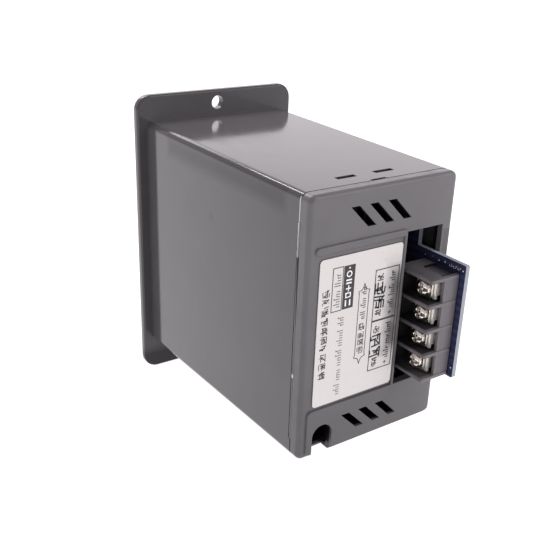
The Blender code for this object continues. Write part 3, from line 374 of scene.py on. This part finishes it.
def make_looks():
    """One material per slot, and a few more for what the slots don't cover."""
    sharp, soft = 0.3 * MM, 4.0 * MM
    # Painted shade: the housing's and cover's inside surfaces darkened to 0.14 of their colour
    inside = (*box_mm(-26.2, 26.2, 0.5, 95.5, -41.4, 43.9), 0.14, sharp)
    # Painted shade: the arch notch's inside darkened to 0.55
    arch = (*box_mm(15.4, 24.2, 80.0, 97.6, -44.0, -29.6), 0.55, sharp)
    # Painted shade: the vent slots' inside walls darkened to 0.12
    vents = [(*box_mm(-16.0, 16.0, 80.0, 97.35, low, high), 0.12, sharp)
             for low, high in ((30.0, 42.0), (-39.5, -28.0))]
    # Painted highlight: a pale strip on the housing's rear edge in the seam, above the flash
    seam_edge_highlight = box_mm(27.4, 29.4, 93.05, 93.6, 36.1, 43.6)
    # Painted reflection: a darker band along the top of the +X side, a dark reflection painted into
    # the colour
    dull = (*box_mm(28.0, 30.0, 18.0, 84.0, 39.5, 41.5), 0.72, soft)
    # Painted shade: the flange's bottom strip darkened to 0.45
    low_flange = (*box_mm(-34.0, 34.0, -0.4, 0.4, -56.0, -49.0), 0.45, soft)
    # Painted shade: the whole back of the flange darkened to 0.72
    flange_back = (*box_mm(-34.0, 34.0, -0.4, 0.4, -56.0, 56.0), 0.72, 0.1 * soft)
    # Painted shade: the cover beside the terminal window darkened to 0.35
    sill = (*box_mm(-28.0, -25.0, 94.0, 97.7, 14.0, 26.0), 0.35, sharp)
    # Painted shade: the cells between the terminal block's barriers darkened to 0.20
    cells = (*box_mm(-22.0, -11.0, 90.0, 108.0, -18.4, 14.2), 0.20, sharp)
    # Painted shade: a strip at the block's +X end darkened to 0.55
    rims = (*box_mm(-11.4, -10.0, 90.0, 102.0, -18.4, 14.2), 0.55, 0.5 * soft)
    # Painted shade: dark lines along the two recess grooves on the block's top, painted shadows
    grooves = [(*box_mm(-22.3, right, low, high, 14.4, 15.8), 0.10, 0.1 * MM)
               for right, low, high in ((-15.9, 107.4, 107.9), (-16.6, 98.75, 99.2))]
    looks = {
        "housing_plastic": moulded("housing_gloss", (0.071, 0.0675, 0.0735), 0.12, grain=0.0012,
                                   wave=0.012, wear=0.25, specks=0.07, ior=1.55,
                                   dimple=(28.9 * MM, 45.7 * MM, 23.3 * MM),
                                   painted_shade_boxes=(inside, dull, low_flange, flange_back), pale=(seam_edge_highlight,),
                                   # Painted light: the housing's colour lighter near the flange and
                                   # darker towards the rear
                                   painted_light_ramps=((1, 1.0 * MM, 93.0 * MM, 1.20, 0.84),)),
        "cover_plastic": moulded("cover_satin", (0.111, 0.108, 0.115), 0.36, grain=0.012,
                                 grain_scale=2600.0, wave=0.006, wear=0.22,
                                 painted_shade_boxes=(inside, arch, sill, *vents),
                                 # Painted light: the cover lighter towards the top and towards its
                                 # -X edge, darker at the bottom
                                 painted_light_ramps=((2, -38.0 * MM, 34.0 * MM, 0.78, 1.08),
                                        (0, -28.0 * MM, -16.0 * MM, 1.15, 1.0))),
        "seam_flash": moulded("seam_flash", (0.100, 0.098, 0.103), 0.42, grain=0.02, wear=0.3,
                              # Painted highlight: pale strips on the flash, continuing the seam's
                              # edge highlight
                              pale=(box_mm(27.0, 29.5, 92.0, 94.0, 25.5, 36.2),
                                    box_mm(27.0, 29.5, 92.0, 94.0, -14.0, -12.9))),
        "overlay_film": moulded("overlay_film", (0.020, 0.020, 0.022), 0.42, grain=0.02,
                                grain_scale=4200.0, wear=0.3),
        "label_film": printed_film("label_stock", (0.67, 0.650, 0.640), 0.16,
                                   # Painted shade along the label's edge beside the terminal block
                                   painted_shade_edge=box_mm(-8.0, -5.6, 90.0, 105.0, -9.0, 15.0)),
        "display_window": moulded("window_acrylic", (0.028, 0.003, 0.004), 0.06, grain=0.0005,
                                  wave=0.004, wear=0.1),
        "display_plastic": moulded("display_body", (0.12, 0.12, 0.12), 0.5),
        "knob_plastic": moulded("knob_plastic", (0.020, 0.020, 0.021), 0.36, grain=0.02,
                                wear=0.5),
        "pointer_white": moulded("pointer_fill", (0.78, 0.77, 0.74), 0.5, wear=0.0),
        "spun_aluminium": turned_metal("spun_aluminium", (0.50, 0.51, 0.53), 0.34,
                                       (0.0, 0.0, -2.5 * MM)),
        "switch_plastic": moulded("switch_nylon", (0.018, 0.018, 0.019), 0.3, grain=0.015,
                                  wear=0.5),
        "blue_board": circuit_board("board_laminate", (0.025, 0.029, 0.076),
                                    (0.34, 0.37, 0.42)),
        "block_plastic": moulded("block_thermoset", (0.131, 0.123, 0.133), 0.40, grain=0.02,
                                 grain_scale=1800.0, wear=0.3, painted_shade_boxes=(cells, rims, *grooves)),
        "nickel_steel": plated("nickel_plate", (0.90, 0.85, 0.79), 0.16, tarnish=0.3),
        "tinned_brass": plated("tin_plate", (0.97, 0.95, 0.90), 0.34, tarnish=0.04, wave=0.004,
                               metallic=0.6),
        "extruded_aluminium": plated("extruded_aluminium", (0.10, 0.10, 0.105), 0.50,
                                     brushed=(1.0, 0.05, 1.0), wave=0.004),
        "moulded_package": moulded("epoxy_package", (0.025, 0.025, 0.027), 0.55, grain=0.03),
        "can_sleeve": moulded("can_sleeve", (0.012, 0.016, 0.045), 0.3),
        "relay_case": moulded("relay_case", (0.015, 0.055, 0.21), 0.38),
        "connector_white": moulded("header_nylon", (0.72, 0.70, 0.62), 0.5, wear=0.0),
        "wire_red": wire_sleeve("sleeve_red", (0.42, 0.02, 0.02)),
        "wire_black": wire_sleeve("sleeve_black", (0.02, 0.02, 0.02)),
        "wire_yellow": wire_sleeve("sleeve_yellow", (0.60, 0.43, 0.03)),
        "black_ink": ink("black_ink", (0.018, 0.018, 0.022)),
        "grey_ink": ink("grey_ink", (0.10, 0.10, 0.11)),
        "white_ink": ink("white_ink", (0.74, 0.74, 0.73)),
        "segment": ink("display_segment", (0.16, 0.012, 0.012)),
        "solder": plated("solder_alloy", (0.72, 0.72, 0.74), 0.2, tarnish=0.3, wave=0.03),
    }
    return looks


# ---------------------------------------------------------------- mesh helpers

def place(name, bm, look, body, sharp=35.0):
    """Turn a bmesh into a piece that rides on a body."""
    mesh = bpy.data.meshes.new(name)
    bmesh.ops.recalc_face_normals(bm, faces=bm.faces)
    bm.to_mesh(mesh)
    bm.free()
    mesh.shade_smooth()
    mesh.set_sharp_from_angle(angle=math.radians(sharp))
    obj = bpy.data.objects.new(name, mesh)
    bpy.context.scene.collection.objects.link(obj)
    mesh.materials.append(LOOKS[look])
    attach(obj, body)
    return obj


def settle_normals(obj):
    """Keep broad flat faces flat and let the light turn over their rounded edges."""
    weighted = obj.modifiers.new("settled_normals", "WEIGHTED_NORMAL")
    weighted.mode = "FACE_AREA"
    weighted.weight = 100
    weighted.keep_sharp = True


def welded(node, look, sharp=35.0):
    """A copy of a CAD node that stands for it: one skin with flat faces and smooth bends."""
    bm = bmesh.new()
    bm.from_mesh(NODES[node].data)
    bmesh.ops.remove_doubles(bm, verts=bm.verts, dist=WELD)
    bmesh.ops.dissolve_limit(bm, angle_limit=FLAT, verts=bm.verts, edges=bm.edges)
    obj = place(node + "_skin", bm, look, BODY_OF[node], sharp)
    settle_normals(obj)
    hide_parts(node)
    return obj


def add_box(bm, low, high):
    """A closed box between two corners."""
    verts = [bm.verts.new((x, y, z)) for x in (low[0], high[0]) for y in (low[1], high[1])
             for z in (low[2], high[2])]
    for corners in ((0, 1, 3, 2), (4, 6, 7, 5), (0, 4, 5, 1), (2, 3, 7, 6), (0, 2, 6, 4),
                    (1, 5, 7, 3)):
        bm.faces.new([verts[corner] for corner in corners])


def add_prism(bm, points, y_low, y_high):
    """A closed prism: an XZ outline, thick along Y."""
    near = [bm.verts.new((x, y_low, z)) for x, z in points]
    far = [bm.verts.new((x, y_high, z)) for x, z in points]
    bm.faces.new(near)
    bm.faces.new(list(reversed(far)))
    for index in range(len(points)):
        after = (index + 1) % len(points)
        bm.faces.new((near[index], far[index], far[after], near[after]))


def add_loft(bm, rings):
    """A closed skin through rings of points, capped at both ends."""
    count = len(rings[0])
    for low, high in zip(rings, rings[1:]):
        for index in range(count):
            after = (index + 1) % count
            bm.faces.new((low[index], low[after], high[after], high[index]))
    bm.faces.new(rings[-1])
    bm.faces.new(list(reversed(rings[0])))


class Print:
    """Ink marks on one face, drawn along a reading direction u and a letter height v, in mm."""

    def __init__(self, y, outward, turned_up):
        self.bm = bmesh.new()
        self.turned_up = turned_up
        near = y + outward * INK_GAP
        far = near + outward * INK_THICK
        self.y = (min(near, far), max(near, far))

    def point(self, u, v):
        return (v * MM, u * MM) if self.turned_up else (u * MM, v * MM)

    def shape(self, points):
        add_prism(self.bm, [self.point(u, v) for u, v in points], *self.y)

    def bar(self, u_low, v_low, u_high, v_high):
        self.shape([(u_low, v_low), (u_high, v_low), (u_high, v_high), (u_low, v_high)])

    def loop(self, points, width):
        """A closed line of even width through a convex outline's corners."""
        middle = Vector((sum(u for u, v in points), sum(v for u, v in points))) / len(points)
        count = len(points)
        outer = [Vector(point) for point in points]
        inner = []
        for index, corner in enumerate(outer):
            before = (corner - outer[index - 1]).normalized()
            after = (outer[(index + 1) % count] - corner).normalized()
            inward = after - before
            if inward.dot(middle - corner) < 0:
                inward = -inward
            half = math.sin(math.acos(max(-1.0, min(1.0, -before.dot(after)))) / 2)
            inner.append(corner + inward.normalized() * width / max(half, 0.3))
        for index in range(count):
            after = (index + 1) % count
            self.shape([outer[index], outer[after], inner[after], inner[index]])

    def frame(self, u_low, v_low, u_high, v_high, width):
        self.loop([(u_low, v_low), (u_high, v_low), (u_high, v_high), (u_low, v_high)], width)

    def stroke(self, start, end, width):
        """One straight pen stroke."""
        start, end = Vector(start), Vector(end)
        along = (end - start).normalized()
        across = Vector((-along.y, along.x)) * width / 2
        self.shape([start - across, end - across, end + across, start + across])

    def path(self, points, width):
        """A closed line of any outline, drawn stroke by stroke with overlapping ends."""
        for index, start in enumerate(points):
            start, end = Vector(start), Vector(points[(index + 1) % len(points)])
            along = (end - start).normalized() * width / 2
            self.stroke(start - along, end + along, width)

    def cluster(self, u, v, size, rng, weight=0.085):
        """A dense mark that stands in for one printed sign: crossing strokes on a small grid."""
        line = size * weight
        for row in rng.sample((0.05, 0.27, 0.50, 0.72, 0.94), 4):
            start = rng.choice((0.0, 0.1, 0.35, 0.5))
            end = rng.choice((0.6, 0.85, 1.0))
            self.stroke((u + start * size, v + row * size),
                        (u + end * size, v + (row + rng.uniform(-0.06, 0.06)) * size), line)
        for column in rng.sample((0.08, 0.36, 0.62, 0.90), 3):
            low = rng.choice((0.0, 0.2, 0.4))
            high = rng.choice((0.7, 0.85, 1.0))
            lean = rng.uniform(-0.14, 0.14)
            self.stroke((u + column * size, v + low * size),
                        (u + (column + lean) * size, v + high * size), line)
        self.stroke((u + 0.5 * size, v + 0.45 * size),
                    (u + rng.choice((0.0, 1.0)) * size, v + rng.uniform(-0.02, 0.1) * size), line)

    def run(self, u, v, length, height, rng, line=0.16):
        """Small upright strokes of uneven height, set in groups like a line of small print."""
        end = u + length
        while u < end:
            for _ in range(rng.choice((4, 5, 7))):
                tall = height * rng.choice((0.55, 0.62, 1.0))
                self.bar(u, v, u + line, v + tall)
                if rng.random() < 0.45:
                    self.bar(u + line, v + tall - line, u + line * 2.6, v + tall)
                u += height * 0.36
            u += height * 0.45

    def plus(self, u, v, size, line):
        self.bar(u - size, v - line, u + size, v + line)
        self.bar(u - line, v + line, u + line, v + size)
        self.bar(u - line, v - size, u + line, v - line)

    def finish(self, name, look, slot):
        return place(name, self.bm, look, "controller")


# ---------------------------------------------------------------- the pieces

def repaint():
    """Every CAD node gets its slot's material before some are replaced."""
    for node, obj in NODES.items():
        look = LOOKS[SLOT_OF[node]]
        obj.data.materials.clear()
        obj.data.materials.append(look)


def skins():
    """Welded copies of the nodes that show."""
    welded("housing", "housing_plastic")
    welded("rear_cover", "cover_plastic")
    welded("rating_label", "label_film")
    welded("front_overlay", "overlay_film")
    welded("display_lens", "display_window")
    welded("speed_knob", "knob_plastic", sharp=40.0)
    welded("knob_cap", "spun_aluminium")
    welded("knob_pointer", "pointer_white")
    welded("switch_case", "switch_plastic")
    welded("rocker", "switch_plastic")
    welded("power_board", "blue_board")
    welded("terminal_block", "block_plastic")
    for pole in range(1, 5):
        welded(f"terminal_plate_{pole}", "tinned_brass")
        welded(f"terminal_washer_{pole}", "nickel_steel")
        welded(f"terminal_screw_{pole}", "nickel_steel")


def label_marks():
    """Generic print on the label: it reads upwards, with the tops of the marks towards +X."""
    rng = random.Random(SEED)
    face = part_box("rating_label")[1].y
    dark = Print(face, 1, turned_up=True)
    for index in range(10):
        dark.cluster(-14.3 + index * 3.02, 20.1, 2.5, rng, 0.105)
    dark.frame(7.6, 15.25, 21.9, 19.3, 0.26)
    dark.run(9.0, 16.1, 11.6, 2.3, rng, 0.22)
    dark.bar(7.7, 10.9, 21.8, 15.05)
    dark.path([(-9.6, 4.75), (11.2, 4.75), (12.1, 4.45), (12.5, 5.7), (13.1, 6.2), (14.5, 6.65),
               (13.1, 7.1), (12.5, 7.6), (12.1, 8.85), (11.2, 8.55), (-9.6, 8.55), (-10.5, 8.85),
               (-10.9, 7.6), (-11.5, 7.1), (-12.9, 6.65), (-11.5, 6.2), (-10.9, 5.7),
               (-10.5, 4.45)], 0.24)
    for index in range(4):
        dark.cluster(-9.3 + index * 2.75, 5.55, 2.25, rng, 0.1)
    dark.run(2.6, 5.7, 8.6, 2.0, rng, 0.26)
    dark.frame(0.50, -7.0, 17.95, 2.7, 0.3)
    dark.frame(-17.1, -7.0, 0.50, 2.7, 0.3)
    for start in (1.4, -16.4):
        for index, size in enumerate((2.3, 4.2, 4.2, 2.3)):
            dark.cluster(start + (0.5, 3.2, 7.9, 12.6)[index], -1.7 + (4.2 - size) / 2, size, rng,
                         0.13)
        dark.run(start + 2.6, -5.5, 9.6, 2.2, rng, 0.36)
        dark.plus(start + 0.9, -4.4, 0.6, 0.14)
        dark.bar(start + 13.6, -4.55, start + 14.9, -4.25)
    dark.finish("label_print", "black_ink", "label_film")
    light = Print(face, 1, turned_up=True)
    light.run(-21.6, 14.0, 27.4, 2.3, rng, 0.24)
    light.finish("label_fine_print", "grey_ink", "label_film")
    knockout = Print(face + INK_GAP + INK_THICK, 1, turned_up=True)
    knockout.bar(8.6, 12.0, 10.6, 12.5)
    knockout.bar(8.6, 13.6, 10.6, 14.1)
    knockout.frame(11.3, 12.0, 13.0, 14.1, 0.36)
    knockout.plus(14.3, 13.05, 0.95, 0.19)
    knockout.bar(15.8, 12.0, 16.3, 14.1)
    knockout.bar(16.8, 12.0, 17.3, 14.1)
    knockout.loop([(19.0 + 1.05 * math.cos(turn * math.pi / 8),
                    13.05 + 1.05 * math.sin(turn * math.pi / 8)) for turn in range(16)], 0.36)
    knockout.bar(20.7, 12.75, 21.2, 13.35)
    knockout.finish("label_light_print", "white_ink", "label_film")


def number_mark(bm, text, x, z, height, y_low, y_high):
    """A number as a thin solid, read from the front."""
    curve = bpy.data.curves.new("number", "FONT")
    curve.body = text
    curve.size = height * 1.35
    curve.align_x = "CENTER"
    curve.align_y = "CENTER"
    curve.extrude = (y_high - y_low) / 2
    drawn = bpy.data.objects.new("number", curve)
    bpy.context.scene.collection.objects.link(drawn)
    evaluated = drawn.evaluated_get(bpy.context.evaluated_depsgraph_get())
    mesh = bpy.data.meshes.new_from_object(evaluated)
    mesh.transform(Matrix.Translation((x, (y_low + y_high) / 2, z))
                   @ Matrix.Rotation(math.pi / 2, 4, "X"))
    part = bmesh.new()
    part.from_mesh(mesh)
    bmesh.ops.remove_doubles(part, verts=part.verts, dist=WELD)
    part.to_mesh(mesh)
    part.free()
    bm.from_mesh(mesh)
    bpy.data.objects.remove(drawn, do_unlink=True)
    bpy.data.meshes.remove(mesh)


def front_marks():
    """White print on the overlay: dial scale, border, window frame and switch symbols."""
    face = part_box("front_overlay")[0].y
    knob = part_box("speed_knob")
    centre_z = (knob[0].z + knob[1].z) / 2 / MM
    white = Print(face, -1, turned_up=False)
    for step in range(51):
        angle = math.radians(-150 + step * 6)
        major = step % 5 == 0
        inner, outer, half = (15.0, 16.6, 0.16) if major else (15.4, 16.2, 0.08)
        along = Vector((math.sin(angle), math.cos(angle)))
        across = Vector((along.y, -along.x)) * half
        middle = Vector((0.0, centre_z))
        white.shape([middle + along * inner - across, middle + along * outer - across,
                     middle + along * outer + across, middle + along * inner + across])
    for step in range(11):
        angle = math.radians(-150 + step * 30)
        number_mark(white.bm, str(step * 10), 18.6 * MM * math.sin(angle),
                    (centre_z + 18.4 * math.cos(angle)) * MM, 1.9 * MM, *white.y)
    half_x, half_z = 26.9, 41.9
    white.loop(rounded_outline(-half_x, -half_z, half_x, half_z, 2.6), 0.25)
    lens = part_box("display_lens")
    white.loop(rounded_outline(lens[0].x / MM - 1.3, lens[0].z / MM - 1.3,
                               lens[1].x / MM + 1.3, lens[1].z / MM + 1.3, 1.8), 0.25)
    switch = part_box("switch_case")
    level = (switch[0].z + switch[1].z) / 2 / MM
    edge = switch[1].x / MM + 2.2
    for side in (-1, 1):
        white.shape([(side * edge, level - 1.6), (side * (edge + 2.9), level),
                     (side * edge, level + 1.6)])
        white.bar(min(side * (edge + 3.6), side * (edge + 4.1)), level - 1.6,
                  max(side * (edge + 3.6), side * (edge + 4.1)), level + 1.6)
    dot = [(1.1 * math.cos(turn * math.pi / 12), switch[0].z / MM - 2.4
            + 1.1 * math.sin(turn * math.pi / 12)) for turn in range(24)]
    white.loop(dot, 0.3)
    white.finish("overlay_print", "white_ink", "overlay_film")


def rounded_outline(u_low, v_low, u_high, v_high, radius, steps=5):
    """Corners of a rounded rectangle, anticlockwise."""
    points = []
    for u, v, start in ((u_high - radius, v_high - radius, 0), (u_low + radius, v_high - radius, 1),
                        (u_low + radius, v_low + radius, 2), (u_high - radius, v_low + radius, 3)):
        for step in range(steps + 1):
            angle = (start + step / steps) * math.pi / 2
            points.append((u + radius * math.cos(angle), v + radius * math.sin(angle)))
    return points


def display_marks():
    """Unlit seven-segment digits on the window."""
    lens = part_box("display_lens")
    middle = (lens[0].z + lens[1].z) / 2 / MM
    digits = Print(lens[0].y, -1, turned_up=False)
    wide, tall, line = 6.6, 12.0, 1.25
    for left in (-15.6, -5.4, 4.8):
        low, high = middle - tall / 2, middle + tall / 2
        for level in (low, middle - line / 2, high - line):
            digits.shape([(left + 0.5, level + line / 2), (left + 0.5 + line / 2, level),
                          (left + wide - 0.5 - line / 2, level),
                          (left + wide - 0.5, level + line / 2),
                          (left + wide - 0.5 - line / 2, level + line),
                          (left + 0.5 + line / 2, level + line)])
        for side in (left - line / 2 + 0.3, left + wide - line / 2 - 0.3):
            for start, end in ((low + line / 2, middle), (middle, high - line / 2)):
                start, end = start + 0.25, end - 0.25
                digits.shape([(side + line / 2, start), (side + line, start + line / 2),
                              (side + line, end - line / 2), (side + line / 2, end),
                              (side, end - line / 2), (side, start + line / 2)])
        digits.bar(left + wide + 1.2, low, left + wide + 2.4, low + 1.2)
    digits.finish("display_segments", "segment", "display_window")


def solder_joints():
    """Cones of solder round the terminal legs on the board's outer face."""
    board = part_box("power_board")
    bm = bmesh.new()
    for pole in range(1, 5):
        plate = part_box(f"terminal_plate_{pole}")
        z = (plate[0].z + plate[1].z) / 2
        y = plate[1].y - LEG_BACK * MM
        rings = []
        for reach, height in CONE_RINGS:
            ring = []
            for step in range(CONE_STEPS):
                turn = 2 * math.pi * step / CONE_STEPS
                ring.append(bm.verts.new((board[0].x - 0.02 * MM - height * MM,
                                          y + (LEG_HALF_Y + reach) * MM * math.sin(turn),
                                          z + (LEG_HALF_Z + reach) * MM * math.cos(turn))))
            rings.append(ring)
        add_loft(bm, rings)
    place("solder_joints", bm, "solder", "controller", sharp=60.0)


def seam_flash():
    """Thin moulding flash that fills the seam along the +X wall, wide at the top, then flush."""
    bm = bmesh.new()
    bm.from_mesh(NODES["housing"].data)
    walls = BVHTree.FromBMesh(bm)
    bm.free()
    rng = random.Random(SEED + 2)
    bm = bmesh.new()
    rings = []
    for step in range(FLASH_STEPS + 1):
        z = -FLASH_HALF_Z + step * 2 * FLASH_HALF_Z / FLASH_STEPS
        wall = walls.ray_cast(Vector((1.0, 92.0 * MM, z * MM)), Vector((-1.0, 0.0, 0.0)))[0].x / MM
        if z > FLASH_WIDE_Z:
            wide, proud = 0.18 + 0.22 * ((z - FLASH_WIDE_Z) / 12.0) ** 2, 0.10
        elif z > FLASH_FLUSH_Z:
            wide, proud = 0.16 + 0.36 * (FLASH_WIDE_Z - z) / 16.0, 0.0
        else:
            wide, proud = 0.52 + 0.22 * min(1.0, (FLASH_FLUSH_Z - z) / 8.0), -0.06
        outer = wall + proud + rng.uniform(-0.04, 0.05)
        high = FLASH_START + wide + rng.uniform(-0.03, 0.03)
        rings.append([bm.verts.new((x * MM, y * MM, z * MM))
                      for x, y in ((wall - FLASH_DEPTH, FLASH_START), (outer, FLASH_START),
                                   (outer, high), (wall - FLASH_DEPTH, high))])
    add_loft(bm, rings)
    place("seam_flash", bm, "seam_flash", "controller")


def silkscreen():
    """White component outlines and ticks on the board's inner face, beside the block."""
    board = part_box("power_board")
    face = board[1].x
    rng = random.Random(SEED + 1)
    bm = bmesh.new()
    near, far = face + 0.01 * MM, face + 0.04 * MM
    for y, z, size in ((93.6, 16.5, 0.3), (97.0, 17.0, 0.25), (99.7, 16.6, 0.45),
                       (102.3, 16.9, 0.45), (110.1, 16.5, 0.4), (110.2, -17.3, 0.4)):
        add_box(bm, (near, y * MM, z * MM), (far, (y + size) * MM, (z + size) * MM))
    for index in range(6):
        y = 104.4 + index * 0.9
        low = 16.4 + rng.uniform(0.0, 0.2)
        high = 17.3 - rng.uniform(0.0, 0.2)
        add_box(bm, (near, y * MM, low * MM), (far, (y + 0.12) * MM, high * MM))
        bar = rng.choice((low, high - 0.12, (low + high) / 2))
        add_box(bm, (near, (y + 0.12) * MM, bar * MM), (far, (y + 0.55) * MM, (bar + 0.12) * MM))
    place("board_silkscreen", bm, "white_ink", "controller")


def floor():
    """A pale glowing floor, seen only from above, with a soft painted shadow under the body where
    it glows less.
    """
    p = Paint("pale_floor")
    tint = p.mix(p.noise(6.0, 3.0), (0.29, 0.29, 0.29, 1.0), (0.31, 0.31, 0.31, 1.0))
    # Painted shadow: the floor's glow drops inside this box under the body
    under = p.within(*PAINTED_SHADOW, PAINTED_SHADOW_SOFT)
    p.put(p.shader.inputs["Emission Strength"], p.span(under, 0.0, 1.0, FLOOR_GLOW, PAINTED_SHADOW_GLOW))
    look = p.finish(tint, 0.9, None, Emission_Color=FLOOR_TINT)
    output = p.nodes["Material Output"]
    clear = p.make("BsdfTransparent", {})
    p.put(output.inputs["Surface"],
          p.make("MixShader", {0: p.make("NewGeometry", {}, "Backfacing"),
                               1: p.shader.outputs[0], 2: clear}))
    mesh = bpy.data.meshes.new("floor")
    level = cad_box[0][2] - FLOOR_DROP
    corners = [(-FLOOR_HALF, -FLOOR_HALF, level), (FLOOR_HALF, -FLOOR_HALF, level),
               (FLOOR_HALF, FLOOR_HALF, level), (-FLOOR_HALF, FLOOR_HALF, level)]
    mesh.from_pydata(corners, [], [(0, 1, 2, 3)])
    mesh.materials.append(look)
    obj = bpy.data.objects.new("floor", mesh)
    bpy.context.scene.collection.objects.link(obj)


def backdrop():
    """A plain white dome behind everything, which lights nothing."""
    p = Paint("white_backdrop")
    look = p.finish((0.0, 0.0, 0.0, 1.0), 1.0, None, Emission_Color=(1.0, 1.0, 1.0, 1.0),
                    Emission_Strength=DOME_GLOW)
    bm = bmesh.new()
    bmesh.ops.create_icosphere(bm, subdivisions=4, radius=DOME_RADIUS)
    mesh = bpy.data.meshes.new("backdrop")
    bm.to_mesh(mesh)
    bm.free()
    mesh.materials.append(look)
    obj = bpy.data.objects.new("backdrop", mesh)
    bpy.context.scene.collection.objects.link(obj)
    obj.visible_diffuse = False
    obj.visible_glossy = False
    obj.visible_transmission = False
    obj.visible_volume_scatter = False
    obj.visible_shadow = False


def softbox(name, at, size, radiance, target=(0.0, 0.05, 0.0)):
    """A rectangular soft light that faces the object; radiance is what a mirror would see."""
    light = bpy.data.lights.new(name, "AREA")
    light.shape = "RECTANGLE"
    light.size, light.size_y = size
    light.energy = radiance * math.pi * size[0] * size[1]
    light.color = LIGHT_TINT
    obj = bpy.data.objects.new(name, light)
    obj.location = at
    towards = Vector(target) - Vector(at)
    obj.rotation_euler = towards.to_track_quat("-Z", "Y").to_euler()
    obj.visible_camera = False
    bpy.context.scene.collection.objects.link(obj)


def stage():
    """Camera, pale surroundings and soft light."""
    camera = bpy.data.cameras.new("camera")
    camera.lens = LENS
    camera.sensor_width = SENSOR
    camera.clip_start = 0.01
    seen_from = bpy.data.objects.new("camera", camera)
    seen_from.location = CAMERA_AT
    seen_from.rotation_euler = CAMERA_TURN
    bpy.context.scene.collection.objects.link(seen_from)
    bpy.context.scene.camera = seen_from
    world = bpy.data.worlds.new("studio")
    world.use_nodes = True
    background = world.node_tree.nodes["Background"]
    background.inputs["Color"].default_value = (*LIGHT_TINT, 1.0)
    background.inputs["Strength"].default_value = WORLD_LIGHT
    bpy.context.scene.world = world
    bpy.context.scene.view_settings.view_transform = "Standard"
    for name, at, size, radiance in SOFTBOXES:
        softbox(name, at, size, radiance)
    floor()
    backdrop()


LOOKS = make_looks()
repaint()
skins()
label_marks()
front_marks()
display_marks()
solder_joints()
seam_flash()
silkscreen()
stage()
